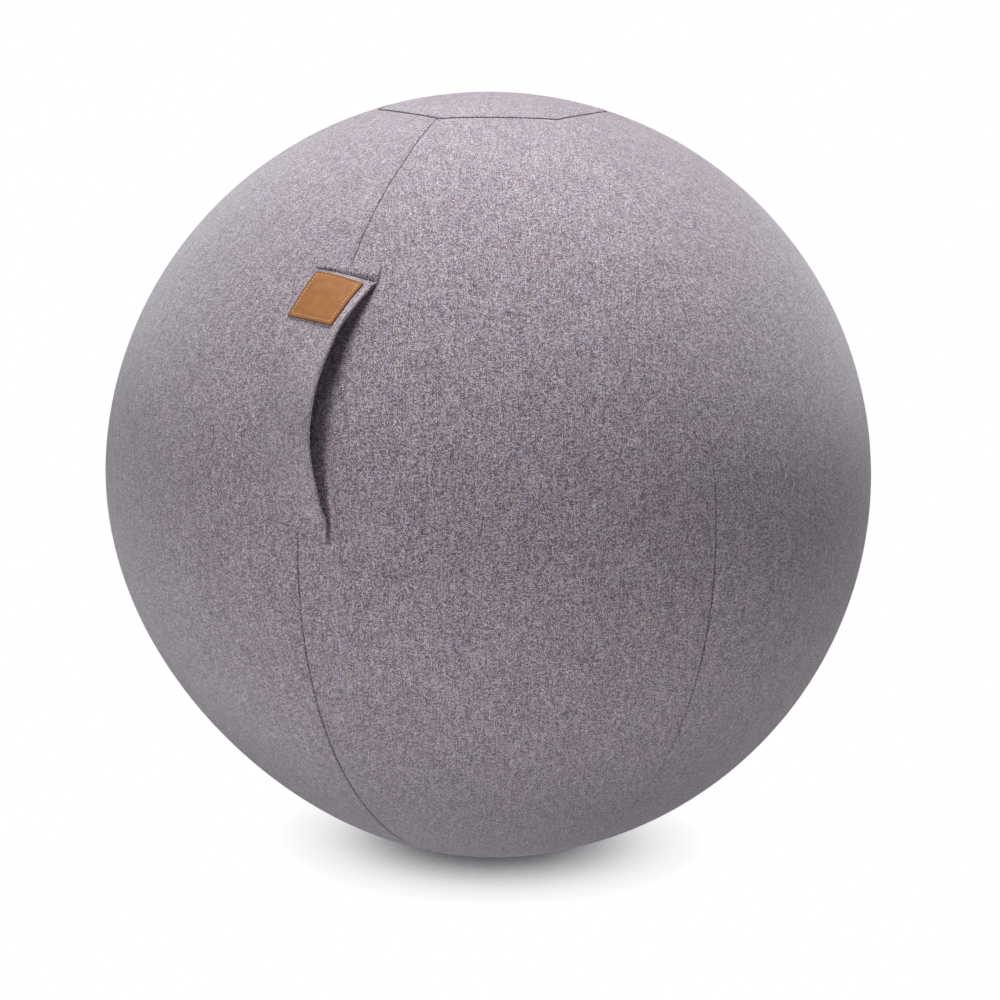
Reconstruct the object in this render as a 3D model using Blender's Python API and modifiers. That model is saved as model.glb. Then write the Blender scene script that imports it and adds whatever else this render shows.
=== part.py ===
# Sitting ball: an inflated inner ball in a zipped fabric cover with a hand strap.
# Metres, +Z up. The origin is the middle of the flat on which the ball stands, and the strap is on
# the -Y side. Azimuths turn from -Y towards +X, and polar angles run down from the top.

from math import asin, atan, ceil, cos, pi, radians, sin, sqrt, tan

import bmesh
import bpy
import numpy as np
from mathutils import Vector
from mathutils.geometry import interpolate_bezier

# Fits and facets
FIT_GAP = 0.0003
LONGITUDES = 36
LATITUDES = 26
TURNED_STEPS = 24
SMOOTH_UNDER = radians(35)
ON_PLANE = 1e-7
SAME_POINT = 1e-5

# Cover
BALL_RADIUS = 0.325
FLOOR_FLAT_RADIUS = 0.045
COVER_THICKNESS = 0.0025
HEXAGON_RADIUS = 0.096
GORE_NAMES = ("front_right", "right", "back_right", "back_left", "left", "front_left")

# The cover's slack: a broad, shallow hollow low on the left of the strap
SLACK_DEPTH = 0.010
SLACK_REACH = radians(50)
SLACK_AZIMUTH = radians(-44)
SLACK_POLAR = radians(133)

# Hand strap: it leaves the ball at the top, bows out and a little to the left, and comes back.
# Its right edge stands off further than its left one, most of all below its middle.
STRAP_WIDTH = 0.057
STRAP_THICKNESS = 0.0024
STRAP_TOP_POLAR = radians(52.45)
STRAP_BOTTOM_POLAR = radians(86.7)
STRAP_TOP_OFFSET = 0.0045
STRAP_TOP_RISE = radians(34.9)
STRAP_BOTTOM_RISE = radians(21.5)
STRAP_TOP_REACH = 0.043
STRAP_BOTTOM_REACH = 0.0854
STRAP_TOP_SWAY = 0.0065
STRAP_BOTTOM_SWAY = 0.0146
STRAP_TOP_TAB = 0.009
STRAP_BOTTOM_TAB = 0.009
STRAP_LEAN = radians(20.1)
STRAP_LOWER_LEAN = radians(5.4)
STRAP_SKEW = radians(13)
STRAP_BEND = 0.006
GRIP_LENGTH = 0.080
STRAP_STEP = 0.009
STRAP_ROWS = 4
STRAP_CURVE_POINTS = 120
STRAP_SEWN_POINTS = 40

# Leather patch on the strap's upper leg
PATCH_SIDE = 0.0475
PATCH_THICKNESS = 0.0016
PATCH_START = 0.0043
PATCH_EDGE = 0.0032
PATCH_SKEW = radians(6)

# Backing patches inside the cover, behind the strap's sewn ends
BACKING_THICKNESS = 0.0008
BACKING_MARGIN = 0.012

# Zip on the back seam
ZIP_TOP_POLAR = radians(80)
ZIP_LENGTH = 0.420
ZIP_TAPE_WIDTH = 0.014
ZIP_TAPE_THICKNESS = 0.0008
ZIP_TAPE_TAIL = 0.012
ZIP_COIL_WIDTH = 0.0028
ZIP_COIL_HEIGHT = 0.0021
ZIP_STOP_LENGTH = 0.004
ZIP_STOP_WIDTH = 0.0064
SLIDER_LENGTH = 0.013
SLIDER_FLANGE = 0.0016
SLIDER_PLATE = 0.0016
SLIDER_CLEARANCE = 0.0005
SLIDER_SIDE_ROOM = 0.0015
BRIDGE_WIDTH = 0.0024
BRIDGE_LENGTH = 0.0075
BRIDGE_BAR = 0.0011
BRIDGE_TUNNEL_HEIGHT = 0.0022
BRIDGE_TUNNEL_LENGTH = 0.0045
PULL_LENGTH = 0.026
PULL_WIDTH = 0.0075
PULL_THICKNESS = 0.0012
PULL_EYE_LENGTH = 0.0068
PULL_FINGER_WIDTH = 0.0036
PULL_FINGER_LENGTH = 0.0072

# Inner ball and its valve, which sits in the middle of one facet beside the zip
INNER_WALL = 0.0012
VALVE_FACET_COLUMN = 1.5
VALVE_FACET_ROW = 14.5
VALVE_SEAT_RADIUS = 0.011
VALVE_FLANGE_RADIUS = 0.016
VALVE_FLANGE_THICKNESS = 0.0015
VALVE_SEAT_DEPTH = 0.014
VALVE_BORE_RADIUS = 0.0038
PLUG_HEAD_RADIUS = 0.0085
PLUG_HEAD_THICKNESS = 0.0018
PLUG_STEM_LENGTH = 0.016
PLUG_BARB = 0.0012
PLUG_BARB_LENGTH = 0.0024

# Worked out from the sizes above
GORE_COUNT = len(GORE_NAMES)
GORE_ANGLE = 2 * pi / GORE_COUNT
CENTRE_HEIGHT = sqrt(BALL_RADIUS**2 - FLOOR_FLAT_RADIUS**2)
CENTRE = Vector((0, 0, CENTRE_HEIGHT))
HEXAGON_CORNER_POLAR = asin(HEXAGON_RADIUS / BALL_RADIUS)
HEXAGON_SIDE_POLAR = atan(tan(HEXAGON_CORNER_POLAR) * cos(GORE_ANGLE / 2))
LINING_INSET = COVER_THICKNESS + FIT_GAP
LINING_THICKNESS = max(ZIP_TAPE_THICKNESS, BACKING_THICKNESS)
INNER_INSET = LINING_INSET + LINING_THICKNESS + FIT_GAP
COIL_INSET = LINING_INSET - FIT_GAP - ZIP_COIL_HEIGHT
ZIP_BOTTOM_POLAR = ZIP_TOP_POLAR + ZIP_LENGTH / BALL_RADIUS
STOP_ANGLE = ZIP_STOP_LENGTH / BALL_RADIUS
GAP_ANGLE = FIT_GAP / BALL_RADIUS
TUNNEL_HALF_WIDTH = FIT_GAP / 2 + ZIP_COIL_WIDTH + SLIDER_CLEARANCE
SLIDER_HALF_WIDTH = TUNNEL_HALF_WIDTH + SLIDER_FLANGE
CHANNEL_HALF_WIDTH = SLIDER_HALF_WIDTH + SLIDER_SIDE_ROOM
SLIDER_POLAR = ZIP_TOP_POLAR + STOP_ANGLE + 2 * GAP_ANGLE + SLIDER_LENGTH / 2 / BALL_RADIUS


def clear_scene():
    for obj in list(bpy.data.objects):
        bpy.data.objects.remove(obj, do_unlink=True)
    for name in ("sitting_ball", "sitting_ball_cutters"):
        bpy.context.scene.collection.children.link(bpy.data.collections.new(name))


def make_material(name, colour, roughness, metallic=0.0):
    material = bpy.data.materials.new(name)
    material.use_nodes = True
    shader = material.node_tree.nodes["Principled BSDF"]
    shader.inputs["Base Color"].default_value = (*colour, 1)
    shader.inputs["Roughness"].default_value = roughness
    shader.inputs["Metallic"].default_value = metallic
    return material


def add_part(name, bm, material):
    mesh = bpy.data.meshes.new(name)
    bm.to_mesh(mesh)
    bm.free()
    mesh.shade_smooth()
    mesh.set_sharp_from_angle(angle=SMOOTH_UNDER)
    mesh.materials.append(material)
    part = bpy.data.objects.new(name, mesh)
    bpy.data.collections["sitting_ball"].objects.link(part)
    return part


def make_cutter(part):
    bpy.data.collections["sitting_ball"].objects.unlink(part)
    bpy.data.collections["sitting_ball_cutters"].objects.link(part)
    part.hide_render = True
    part.display_type = "WIRE"
    return part


def combine(part, other, operation):
    modifier = part.modifiers.new(f"{operation.lower()}_{other.name}", "BOOLEAN")
    modifier.operation = operation
    modifier.solver = "EXACT"
    modifier.object = other


# Layers of the ball

def direction_at(azimuth, polar):
    return Vector((sin(polar) * sin(azimuth), -sin(polar) * cos(azimuth), cos(polar)))


def tangent_at(azimuth):
    return Vector((cos(azimuth), sin(azimuth), 0))


def downhill_at(azimuth, polar):
    return Vector((cos(polar) * sin(azimuth), -cos(polar) * cos(azimuth), -sin(polar)))


def layer_point(direction, inset):
    # A point of the layer that lies this far inside the cover's outer face
    angle = direction.angle(direction_at(SLACK_AZIMUTH, SLACK_POLAR))
    slack = SLACK_DEPTH * (1 + cos(pi * min(angle / SLACK_REACH, 1))) / 2
    radius = BALL_RADIUS - slack - inset
    if direction.z < 0:
        radius = min(radius, (CENTRE_HEIGHT - inset) / -direction.z)
    return CENTRE + radius * direction


def cut(bm, point, normal, keep_both=False):
    bmesh.ops.bisect_plane(
        bm,
        geom=bm.verts[:] + bm.edges[:] + bm.faces[:],
        dist=ON_PLANE,
        plane_co=point,
        plane_no=normal,
        clear_outer=not keep_both,
    )


def ball_layer(inset):
    bm = bmesh.new()
    bmesh.ops.create_uvsphere(bm, u_segments=LONGITUDES, v_segments=LATITUDES, radius=BALL_RADIUS)
    cut(bm, -CENTRE, Vector((0, 0, 1)), keep_both=True)
    for vertex in bm.verts:
        vertex.co = layer_point(vertex.co.normalized(), inset)
    return bm


def extrude_all(bm):
    # Gives the surface a second skin with walls between, and returns the points of that skin
    grown = bmesh.ops.extrude_face_region(bm, geom=bm.faces[:], use_keep_orig=True)["geom"]
    return [vertex for vertex in grown if isinstance(vertex, bmesh.types.BMVert)]


def thicken(bm, thickness):
    for vertex in extrude_all(bm):
        vertex.co -= (vertex.co - CENTRE).normalized() * thickness
    bmesh.ops.reverse_faces(bm, faces=bm.faces)


def panel(name, inset, thickness, planes, material):
    bm = ball_layer(inset)
    for point, normal in planes:
        cut(bm, point, normal)
    thicken(bm, thickness)
    add_part(name, bm, material)


# Cover

def seam_planes(first_seam, last_seam):
    start, end = tangent_at(first_seam), tangent_at(last_seam)
    return [(CENTRE + start * FIT_GAP / 2, -start), (CENTRE - end * FIT_GAP / 2, end)]


def hexagon_plane(azimuth, at_top, outside):
    # The plane through the ball's centre and one side of the top or base panel
    uphill = -downhill_at(azimuth, HEXAGON_SIDE_POLAR)
    if not at_top:
        uphill.z = -uphill.z
    normal = -uphill if outside else uphill
    return CENTRE - normal * FIT_GAP / 2, normal


def open_zip_channel(bm, side):
    # Takes the strip beside the back seam out of a panel, from one end of the zip to the other
    cut(bm, Vector((side * CHANNEL_HALF_WIDTH, 0, 0)), Vector((side, 0, 0)), keep_both=True)
    for polar in (ZIP_TOP_POLAR, ZIP_BOTTOM_POLAR):
        cut(bm, CENTRE, downhill_at(pi, polar), keep_both=True)
    strip = []
    for face in bm.faces:
        middle = face.calc_center_median() - CENTRE
        polar = Vector((0, middle.y, middle.z)).angle(Vector((0, 0, 1)))
        beside = abs(middle.x) < CHANNEL_HALF_WIDTH and middle.y > 0
        if beside and ZIP_TOP_POLAR < polar < ZIP_BOTTOM_POLAR:
            strip.append(face)
    bmesh.ops.delete(bm, geom=strip, context="FACES")


def cover_panel(name, planes, material):
    # The zip runs between the two back gores, and through the base panel's edge where it is that long
    zip_sides = {"gore_back_right": (1,), "gore_back_left": (-1,), "base_panel": (-1, 1)}
    bm = ball_layer(0)
    for point, normal in planes:
        cut(bm, point, normal)
    for side in zip_sides.get(name, ()):
        open_zip_channel(bm, side)
    thicken(bm, COVER_THICKNESS)
    add_part(name, bm, material)


def make_end_panels(material):
    middles = [(side + 0.5) * GORE_ANGLE for side in range(GORE_COUNT)]
    for name, at_top in (("top_panel", True), ("base_panel", False)):
        planes = [hexagon_plane(azimuth, at_top, outside=True) for azimuth in middles]
        cover_panel(name, planes, material)


def make_gores(material):
    for number, place in enumerate(GORE_NAMES):
        first_seam = number * GORE_ANGLE
        middle = first_seam + GORE_ANGLE / 2
        planes = seam_planes(first_seam, first_seam + GORE_ANGLE)
        planes += [hexagon_plane(middle, at_top, outside=False) for at_top in (True, False)]
        cover_panel(f"gore_{place}", planes, material)


# Hand strap

def strap_centre_line():
    # Points from the ball's centre, with their distance along the strap from where it lifts
    radius = BALL_RADIUS + FIT_GAP + STRAP_THICKNESS / 2
    right = Vector((1, 0, 0))

    def on_ball(polar, offset=0.0):
        return direction_at(0, polar) * radius + right * offset

    def leaving(polar, rise, downwards):
        along = downhill_at(0, polar) * (1 if downwards else -1)
        return along * cos(rise) + direction_at(0, polar) * sin(rise)

    top, bottom = on_ball(STRAP_TOP_POLAR, STRAP_TOP_OFFSET), on_ball(STRAP_BOTTOM_POLAR)
    first = leaving(STRAP_TOP_POLAR, STRAP_TOP_RISE, True) * STRAP_TOP_REACH
    last = leaving(STRAP_BOTTOM_POLAR, STRAP_BOTTOM_RISE, False) * STRAP_BOTTOM_REACH
    free = interpolate_bezier(
        top,
        top + first - right * STRAP_TOP_SWAY,
        bottom + last - right * STRAP_BOTTOM_SWAY,
        bottom,
        STRAP_CURVE_POINTS,
    )
    sewn = (max(STRAP_TOP_TAB, STRAP_BOTTOM_TAB) + STRAP_WIDTH) / radius
    steps = np.linspace(1 / STRAP_SEWN_POINTS, 1, STRAP_SEWN_POINTS) * sewn
    above = [on_ball(STRAP_TOP_POLAR - step, STRAP_TOP_OFFSET) for step in reversed(steps)]
    below = [on_ball(STRAP_BOTTOM_POLAR + step) for step in steps]
    points = np.array([*above, *free, *below])
    along = np.concatenate([[0], np.cumsum(np.linalg.norm(np.diff(points, axis=0), axis=1))])
    lift, land = along[len(above)], along[len(above) + len(free) - 1]
    return points, along - lift, land - lift


STRAP_POINTS, STRAP_ALONG, STRAP_FREE_LENGTH = strap_centre_line()
STRAP_CREST = STRAP_ALONG[np.argmax(np.linalg.norm(STRAP_POINTS, axis=1))]
GRIP_START = STRAP_CREST - GRIP_LENGTH / 2
GRIP_END = STRAP_CREST + GRIP_LENGTH / 2


def strap_point(along, across, height):
    # A point of the strap: along it, across it to the right, and above the middle of its thickness
    def middle(at):
        return Vector([np.interp(at, STRAP_ALONG, column) for column in STRAP_POINTS.T])

    ahead = (middle(along + STRAP_BEND) - middle(along - STRAP_BEND)).normalized()
    level = Vector((1, 0, 0))
    level = (level - ahead * level.dot(ahead)).normalized()
    outwards = ahead.cross(level)
    turn = pi * min(max(along / STRAP_FREE_LENGTH, 0), 1)
    lean = STRAP_LEAN * sin(turn) - STRAP_LOWER_LEAN * sin(2 * turn)
    sideways = level * cos(lean) + outwards * sin(lean)
    normal = outwards * cos(lean) - level * sin(lean)
    return CENTRE + middle(along) + sideways * across + normal * height


def strap_slab(name, ends, edges, heights, skews, material):
    # A flat slab bent along the strap: its ends may be cut at a slant
    steps = max(2, ceil((ends[1] - ends[0]) / STRAP_STEP))
    bm = bmesh.new()
    bmesh.ops.create_grid(bm, x_segments=STRAP_ROWS, y_segments=steps, size=0.5)
    for vertex in extrude_all(bm):
        vertex.co.z = 1
    for vertex in bm.verts:
        across = edges[1] - (edges[1] - edges[0]) * (vertex.co.x + 0.5)
        start = ends[0] + across * tan(skews[0])
        end = ends[1] + across * tan(skews[1])
        along = start + (end - start) * (vertex.co.y + 0.5)
        height = heights[0] + (heights[1] - heights[0]) * vertex.co.z
        vertex.co = strap_point(along, across, height)
    add_part(name, bm, material)


def make_strap(fabric):
    edges = (-STRAP_WIDTH / 2, STRAP_WIDTH / 2)
    heights = (-STRAP_THICKNESS / 2, STRAP_THICKNESS / 2)
    half = FIT_GAP / 2
    lower_end = STRAP_FREE_LENGTH + STRAP_BOTTOM_TAB
    lengths = {
        "strap_top_tab": (-STRAP_TOP_TAB, -half, 0),
        "strap_upper_leg": (half, GRIP_START - half, 0),
        "strap_grip": (GRIP_START + half, GRIP_END - half, 0),
        "strap_lower_leg": (GRIP_END + half, STRAP_FREE_LENGTH - half, 0),
        "strap_bottom_tab": (STRAP_FREE_LENGTH + half, lower_end, STRAP_SKEW),
    }
    for name, (start, end, end_skew) in lengths.items():
        strap_slab(name, (start, end), edges, heights, (0, end_skew), fabric)


def make_patch(leather):
    left = -STRAP_WIDTH / 2 + PATCH_EDGE
    face = STRAP_THICKNESS / 2 + FIT_GAP
    middle = left + PATCH_SIDE / 2
    start = PATCH_START - middle * tan(PATCH_SKEW)
    strap_slab(
        "leather_patch",
        (start, start + PATCH_SIDE),
        (left, left + PATCH_SIDE),
        (face, face + PATCH_THICKNESS),
        (PATCH_SKEW, PATCH_SKEW),
        leather,
    )


def make_strap_backings(material):
    half_width = STRAP_WIDTH / 2 + BACKING_MARGIN
    sides = [(Vector((side * half_width, 0, 0)), Vector((side, 0, 0))) for side in (-1, 1)]
    margin = BACKING_MARGIN / BALL_RADIUS
    ends = {
        "strap_backing_top": (STRAP_TOP_POLAR - STRAP_TOP_TAB / BALL_RADIUS, STRAP_TOP_POLAR),
        "strap_backing_bottom": (
            STRAP_BOTTOM_POLAR,
            STRAP_BOTTOM_POLAR + STRAP_BOTTOM_TAB / BALL_RADIUS,
        ),
    }
    for name, (upper, lower) in ends.items():
        planes = sides + [
            (CENTRE, -downhill_at(0, upper - margin)),
            (CENTRE, downhill_at(0, lower + margin)),
        ]
        panel(name, LINING_INSET, BACKING_THICKNESS, planes, material)


# Zip

def zip_planes(inner, outer, top_polar, bottom_polar):
    # Bounds of a strip of the zip between two distances from the seam's plane
    return [
        (Vector((inner, 0, 0)), Vector((-1, 0, 0))),
        (Vector((outer, 0, 0)), Vector((1, 0, 0))),
        (CENTRE, -downhill_at(pi, top_polar)),
        (CENTRE, downhill_at(pi, bottom_polar)),
    ]


def make_zip_tapes_and_coils(tape, nylon):
    tail = ZIP_TAPE_TAIL / BALL_RADIUS
    coil_margin = STOP_ANGLE + GAP_ANGLE
    for side, sign in (("right", 1), ("left", -1)):
        for name, width, inset, thickness, material, extra in (
            ("zip_tape", ZIP_TAPE_WIDTH, LINING_INSET, ZIP_TAPE_THICKNESS, tape, tail),
            ("zip_coil", ZIP_COIL_WIDTH, COIL_INSET, ZIP_COIL_HEIGHT, nylon, -coil_margin),
        ):
            inner, outer = sorted((sign * FIT_GAP / 2, sign * (FIT_GAP / 2 + width)))
            ends = (ZIP_TOP_POLAR - extra, ZIP_BOTTOM_POLAR + extra)
            panel(f"{name}_{side}", inset, thickness, zip_planes(inner, outer, *ends), material)


def make_zip_stops(metal):
    half = ZIP_STOP_WIDTH / 2
    for name, start in (
        ("zip_top_stop", ZIP_TOP_POLAR + GAP_ANGLE),
        ("zip_bottom_stop", ZIP_BOTTOM_POLAR - STOP_ANGLE),
    ):
        planes = zip_planes(-half, half, start, start + STOP_ANGLE - GAP_ANGLE)
        panel(name, COIL_INSET, ZIP_COIL_HEIGHT, planes, metal)


def box(name, low, high, material):
    bm = bmesh.new()
    bmesh.ops.create_cube(bm, size=1)
    low, high = Vector(low), Vector(high)
    for vertex in bm.verts:
        vertex.co = (low + high) / 2 + vertex.co * (high - low)
    return add_part(name, bm, material)


def make_slider(metal):
    # Modelled about the ball's centre, which its track goes round: local Z is out, Y is down the seam
    floor = BALL_RADIUS - LINING_INSET + FIT_GAP
    roof = BALL_RADIUS - COIL_INSET + FIT_GAP
    plate_top = roof + SLIDER_PLATE
    tunnel_top = plate_top + BRIDGE_TUNNEL_HEIGHT
    half = SLIDER_LENGTH / 2
    sunk = SLIDER_PLATE / 2
    slider = box(
        "zip_slider", (-SLIDER_HALF_WIDTH, -half, floor), (SLIDER_HALF_WIDTH, half, plate_top), metal
    )
    coil_tunnel = box(
        "coil_tunnel",
        (-TUNNEL_HALF_WIDTH, -SLIDER_LENGTH, floor - SLIDER_PLATE),
        (TUNNEL_HALF_WIDTH, SLIDER_LENGTH, roof),
        metal,
    )
    bridge = box(
        "bridge",
        (-BRIDGE_WIDTH / 2, -BRIDGE_LENGTH / 2, plate_top - sunk),
        (BRIDGE_WIDTH / 2, BRIDGE_LENGTH / 2, tunnel_top + BRIDGE_BAR),
        metal,
    )
    bridge_tunnel = box(
        "bridge_tunnel",
        (-BRIDGE_WIDTH, -BRIDGE_TUNNEL_LENGTH / 2, plate_top),
        (BRIDGE_WIDTH, BRIDGE_TUNNEL_LENGTH / 2, tunnel_top),
        metal,
    )
    combine(slider, make_cutter(coil_tunnel), "DIFFERENCE")
    combine(slider, make_cutter(bridge), "UNION")
    combine(slider, make_cutter(bridge_tunnel), "DIFFERENCE")
    for piece in (slider, coil_tunnel, bridge, bridge_tunnel):
        piece.location = CENTRE
        piece.rotation_euler.x = -SLIDER_POLAR
    return slider, plate_top + BRIDGE_TUNNEL_HEIGHT / 2


def make_pull(slider, pivot_height, metal):
    # Its end bar lies in the bridge's tunnel, on the hinge's axis, and it hangs down the seam
    half_width, half_thick = PULL_WIDTH / 2, PULL_THICKNESS / 2
    bar = PULL_THICKNESS / 2
    pull = box(
        "zip_pull",
        (-half_width, -bar, -half_thick),
        (half_width, PULL_LENGTH - bar, half_thick),
        metal,
    )
    eye_half_width = BRIDGE_WIDTH / 2 + SLIDER_CLEARANCE
    eye = box(
        "pull_eye",
        (-eye_half_width, bar, -PULL_THICKNESS),
        (eye_half_width, bar + PULL_EYE_LENGTH, PULL_THICKNESS),
        metal,
    )
    finger_end = PULL_LENGTH - bar - PULL_FINGER_WIDTH / 2
    finger_hole = box(
        "pull_finger_hole",
        (-PULL_FINGER_WIDTH / 2, finger_end - PULL_FINGER_LENGTH, -PULL_THICKNESS),
        (PULL_FINGER_WIDTH / 2, finger_end, PULL_THICKNESS),
        metal,
    )
    for cutter in (eye, finger_hole):
        combine(pull, make_cutter(cutter), "DIFFERENCE")
    for piece in (pull, eye, finger_hole):
        piece.parent = slider
        piece.location = (0, 0, pivot_height)


# Inner ball

def turned(name, profile, closed, material):
    # A profile of (radius, height) points, down its outer side, turned about local Z
    bm = bmesh.new()
    points = [bm.verts.new((radius, 0, height)) for radius, height in profile]
    for first, second in zip(points, points[1:] + points[: int(closed)]):
        bm.edges.new((first, second))
    part = add_part(name, bm, material)
    screw = part.modifiers.new("turned", "SCREW")
    screw.steps = screw.render_steps = TURNED_STEPS
    screw.use_merge_vertices = True
    screw.merge_threshold = SAME_POINT
    screw.use_smooth_shade = True
    return part


def make_inner_ball(vinyl, valve_plastic, plug_plastic):
    bm = ball_layer(INNER_INSET)
    copied = bmesh.ops.duplicate(bm, geom=bm.verts[:] + bm.edges[:] + bm.faces[:])["geom"]
    for vertex in copied:
        if isinstance(vertex, bmesh.types.BMVert):
            vertex.co -= (vertex.co - CENTRE).normalized() * INNER_WALL
    inside = [face for face in copied if isinstance(face, bmesh.types.BMFace)]
    bmesh.ops.reverse_faces(bm, faces=inside)
    inner_ball = add_part("inner_ball", bm, vinyl)

    # The facet's middle is nearer the ball's centre than its corners are
    column, row = 2 * pi / LONGITUDES, pi / LATITUDES
    polar = VALVE_FACET_ROW * row
    corner = BALL_RADIUS - INNER_INSET
    nearness = cos(row / 2) - sin(polar) ** 2 * (1 - cos(column / 2))
    axis = direction_at(pi - VALVE_FACET_COLUMN * column, polar)
    place = CENTRE + axis * corner * nearness
    turn = axis.to_track_quat("Z", "Y").to_euler()

    hole_radius = VALVE_SEAT_RADIUS + FIT_GAP
    hole = turned(
        "valve_hole",
        [(0, INNER_WALL), (hole_radius, INNER_WALL), (hole_radius, -2 * INNER_WALL), (0, -2 * INNER_WALL)],
        False,
        valve_plastic,
    )
    flange_top = -INNER_WALL - FIT_GAP
    flange_bottom = flange_top - VALVE_FLANGE_THICKNESS
    recess_radius = PLUG_HEAD_RADIUS + FIT_GAP
    recess_floor = -PLUG_HEAD_THICKNESS - FIT_GAP
    seat = turned(
        "valve_seat",
        [
            (recess_radius, 0),
            (VALVE_SEAT_RADIUS, 0),
            (VALVE_SEAT_RADIUS, flange_top),
            (VALVE_FLANGE_RADIUS, flange_top),
            (VALVE_FLANGE_RADIUS, flange_bottom),
            (VALVE_SEAT_RADIUS, flange_bottom),
            (VALVE_SEAT_RADIUS, -VALVE_SEAT_DEPTH),
            (VALVE_BORE_RADIUS, -VALVE_SEAT_DEPTH),
            (VALVE_BORE_RADIUS, recess_floor),
            (recess_radius, recess_floor),
        ],
        True,
        valve_plastic,
    )
    stem = VALVE_BORE_RADIUS - FIT_GAP
    stem_end = -PLUG_HEAD_THICKNESS - PLUG_STEM_LENGTH
    plug = turned(
        "valve_plug",
        [
            (0, 0),
            (PLUG_HEAD_RADIUS, 0),
            (PLUG_HEAD_RADIUS, -PLUG_HEAD_THICKNESS),
            (stem, -PLUG_HEAD_THICKNESS),
            (stem, stem_end + PLUG_BARB_LENGTH),
            (stem - PLUG_BARB, stem_end),
            (0, stem_end),
        ],
        False,
        plug_plastic,
    )
    for piece in (hole, seat, plug):
        piece.location = place
        piece.rotation_euler = turn
    combine(inner_ball, make_cutter(hole), "DIFFERENCE")


clear_scene()
fabric = make_material("melange_fabric", (0.27, 0.23, 0.26), 0.9)
leather = make_material("tan_leather", (0.36, 0.16, 0.07), 0.55)
lining = make_material("lining_cloth", (0.12, 0.11, 0.12), 0.9)
tape = make_material("zip_tape_cloth", (0.16, 0.14, 0.16), 0.85)
nylon = make_material("zip_nylon", (0.15, 0.13, 0.15), 0.4)
metal = make_material("zip_metal", (0.45, 0.44, 0.43), 0.35, 1.0)
vinyl = make_material("inner_ball_vinyl", (0.33, 0.34, 0.36), 0.45)
valve_plastic = make_material("valve_plastic", (0.30, 0.31, 0.33), 0.45)
plug_plastic = make_material("plug_plastic", (0.75, 0.75, 0.74), 0.4)

make_end_panels(fabric)
make_gores(fabric)
make_strap(fabric)
make_patch(leather)
make_strap_backings(lining)
make_zip_tapes_and_coils(tape, nylon)
make_zip_stops(metal)
slider, pivot_height = make_slider(metal)
make_pull(slider, pivot_height, metal)
make_inner_ball(vinyl, valve_plastic, plug_plastic)
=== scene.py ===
# Looks of the sitting ball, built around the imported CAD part.
# Metres, +Z up. The strap is on -Y. Azimuths turn from -Y towards +X, and polar angles run down from the top.

from math import asin, atan, cos, pi, radians, sin, sqrt, tan

import bpy
import numpy as np
from mathutils import Matrix, Vector


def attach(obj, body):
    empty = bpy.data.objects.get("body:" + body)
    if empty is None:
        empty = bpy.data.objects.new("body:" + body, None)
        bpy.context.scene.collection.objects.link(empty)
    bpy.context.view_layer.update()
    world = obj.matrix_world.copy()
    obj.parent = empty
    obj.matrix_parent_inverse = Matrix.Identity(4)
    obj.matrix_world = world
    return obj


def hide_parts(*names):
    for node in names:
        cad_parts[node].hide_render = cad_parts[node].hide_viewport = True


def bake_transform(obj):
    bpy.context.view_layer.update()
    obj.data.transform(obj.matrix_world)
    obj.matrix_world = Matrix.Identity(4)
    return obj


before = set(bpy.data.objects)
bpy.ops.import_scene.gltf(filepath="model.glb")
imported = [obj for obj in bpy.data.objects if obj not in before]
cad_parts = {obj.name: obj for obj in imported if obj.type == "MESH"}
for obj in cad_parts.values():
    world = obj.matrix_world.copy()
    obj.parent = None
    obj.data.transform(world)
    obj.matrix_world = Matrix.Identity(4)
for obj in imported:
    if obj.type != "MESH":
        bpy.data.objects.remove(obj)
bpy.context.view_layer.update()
print("frame loaded")

# Lines and surfaces of points

toRight = np.array((1.0, 0, 0))


def unit(vectors):
    return vectors / np.linalg.norm(vectors, axis=-1, keepdims=True)


def smoothStep(value, start, end):
    share = np.clip((value - start) / (end - start), 0, 1)
    return share * share * (3 - 2 * share)


def lengthAlong(points):
    return np.concatenate(([0], np.cumsum(np.linalg.norm(np.diff(points, axis=0), axis=1))))


def valuesAt(at, along, values):
    return np.stack([np.interp(at, along, column) for column in values.T], -1)


def slopes(surface, x, y, height, step):
    # A surface's directions to the right, down and outwards
    right = surface(x + step, y, height) - surface(x - step, y, height)
    down = surface(x, y + step, height) - surface(x, y - step, height)
    return right, down, np.cross(down, right)


# Meshes


def addObject(name, data):
    added = bpy.data.objects.new(name, data)
    bpy.context.scene.collection.objects.link(added)
    return added


def makeMesh(name, points, faces, material, flat=None):
    mesh = bpy.data.meshes.new(name)
    mesh.from_pydata(np.asarray(points, float).reshape(-1, 3).tolist(), [], faces)
    if flat is not None:
        layer = mesh.uv_layers.new(name="flat")
        layer.data.foreach_set("uv", np.asarray(flat, np.float32).ravel())
    mesh.shade_smooth()
    mesh.materials.append(material)
    return addObject(name, mesh)


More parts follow.
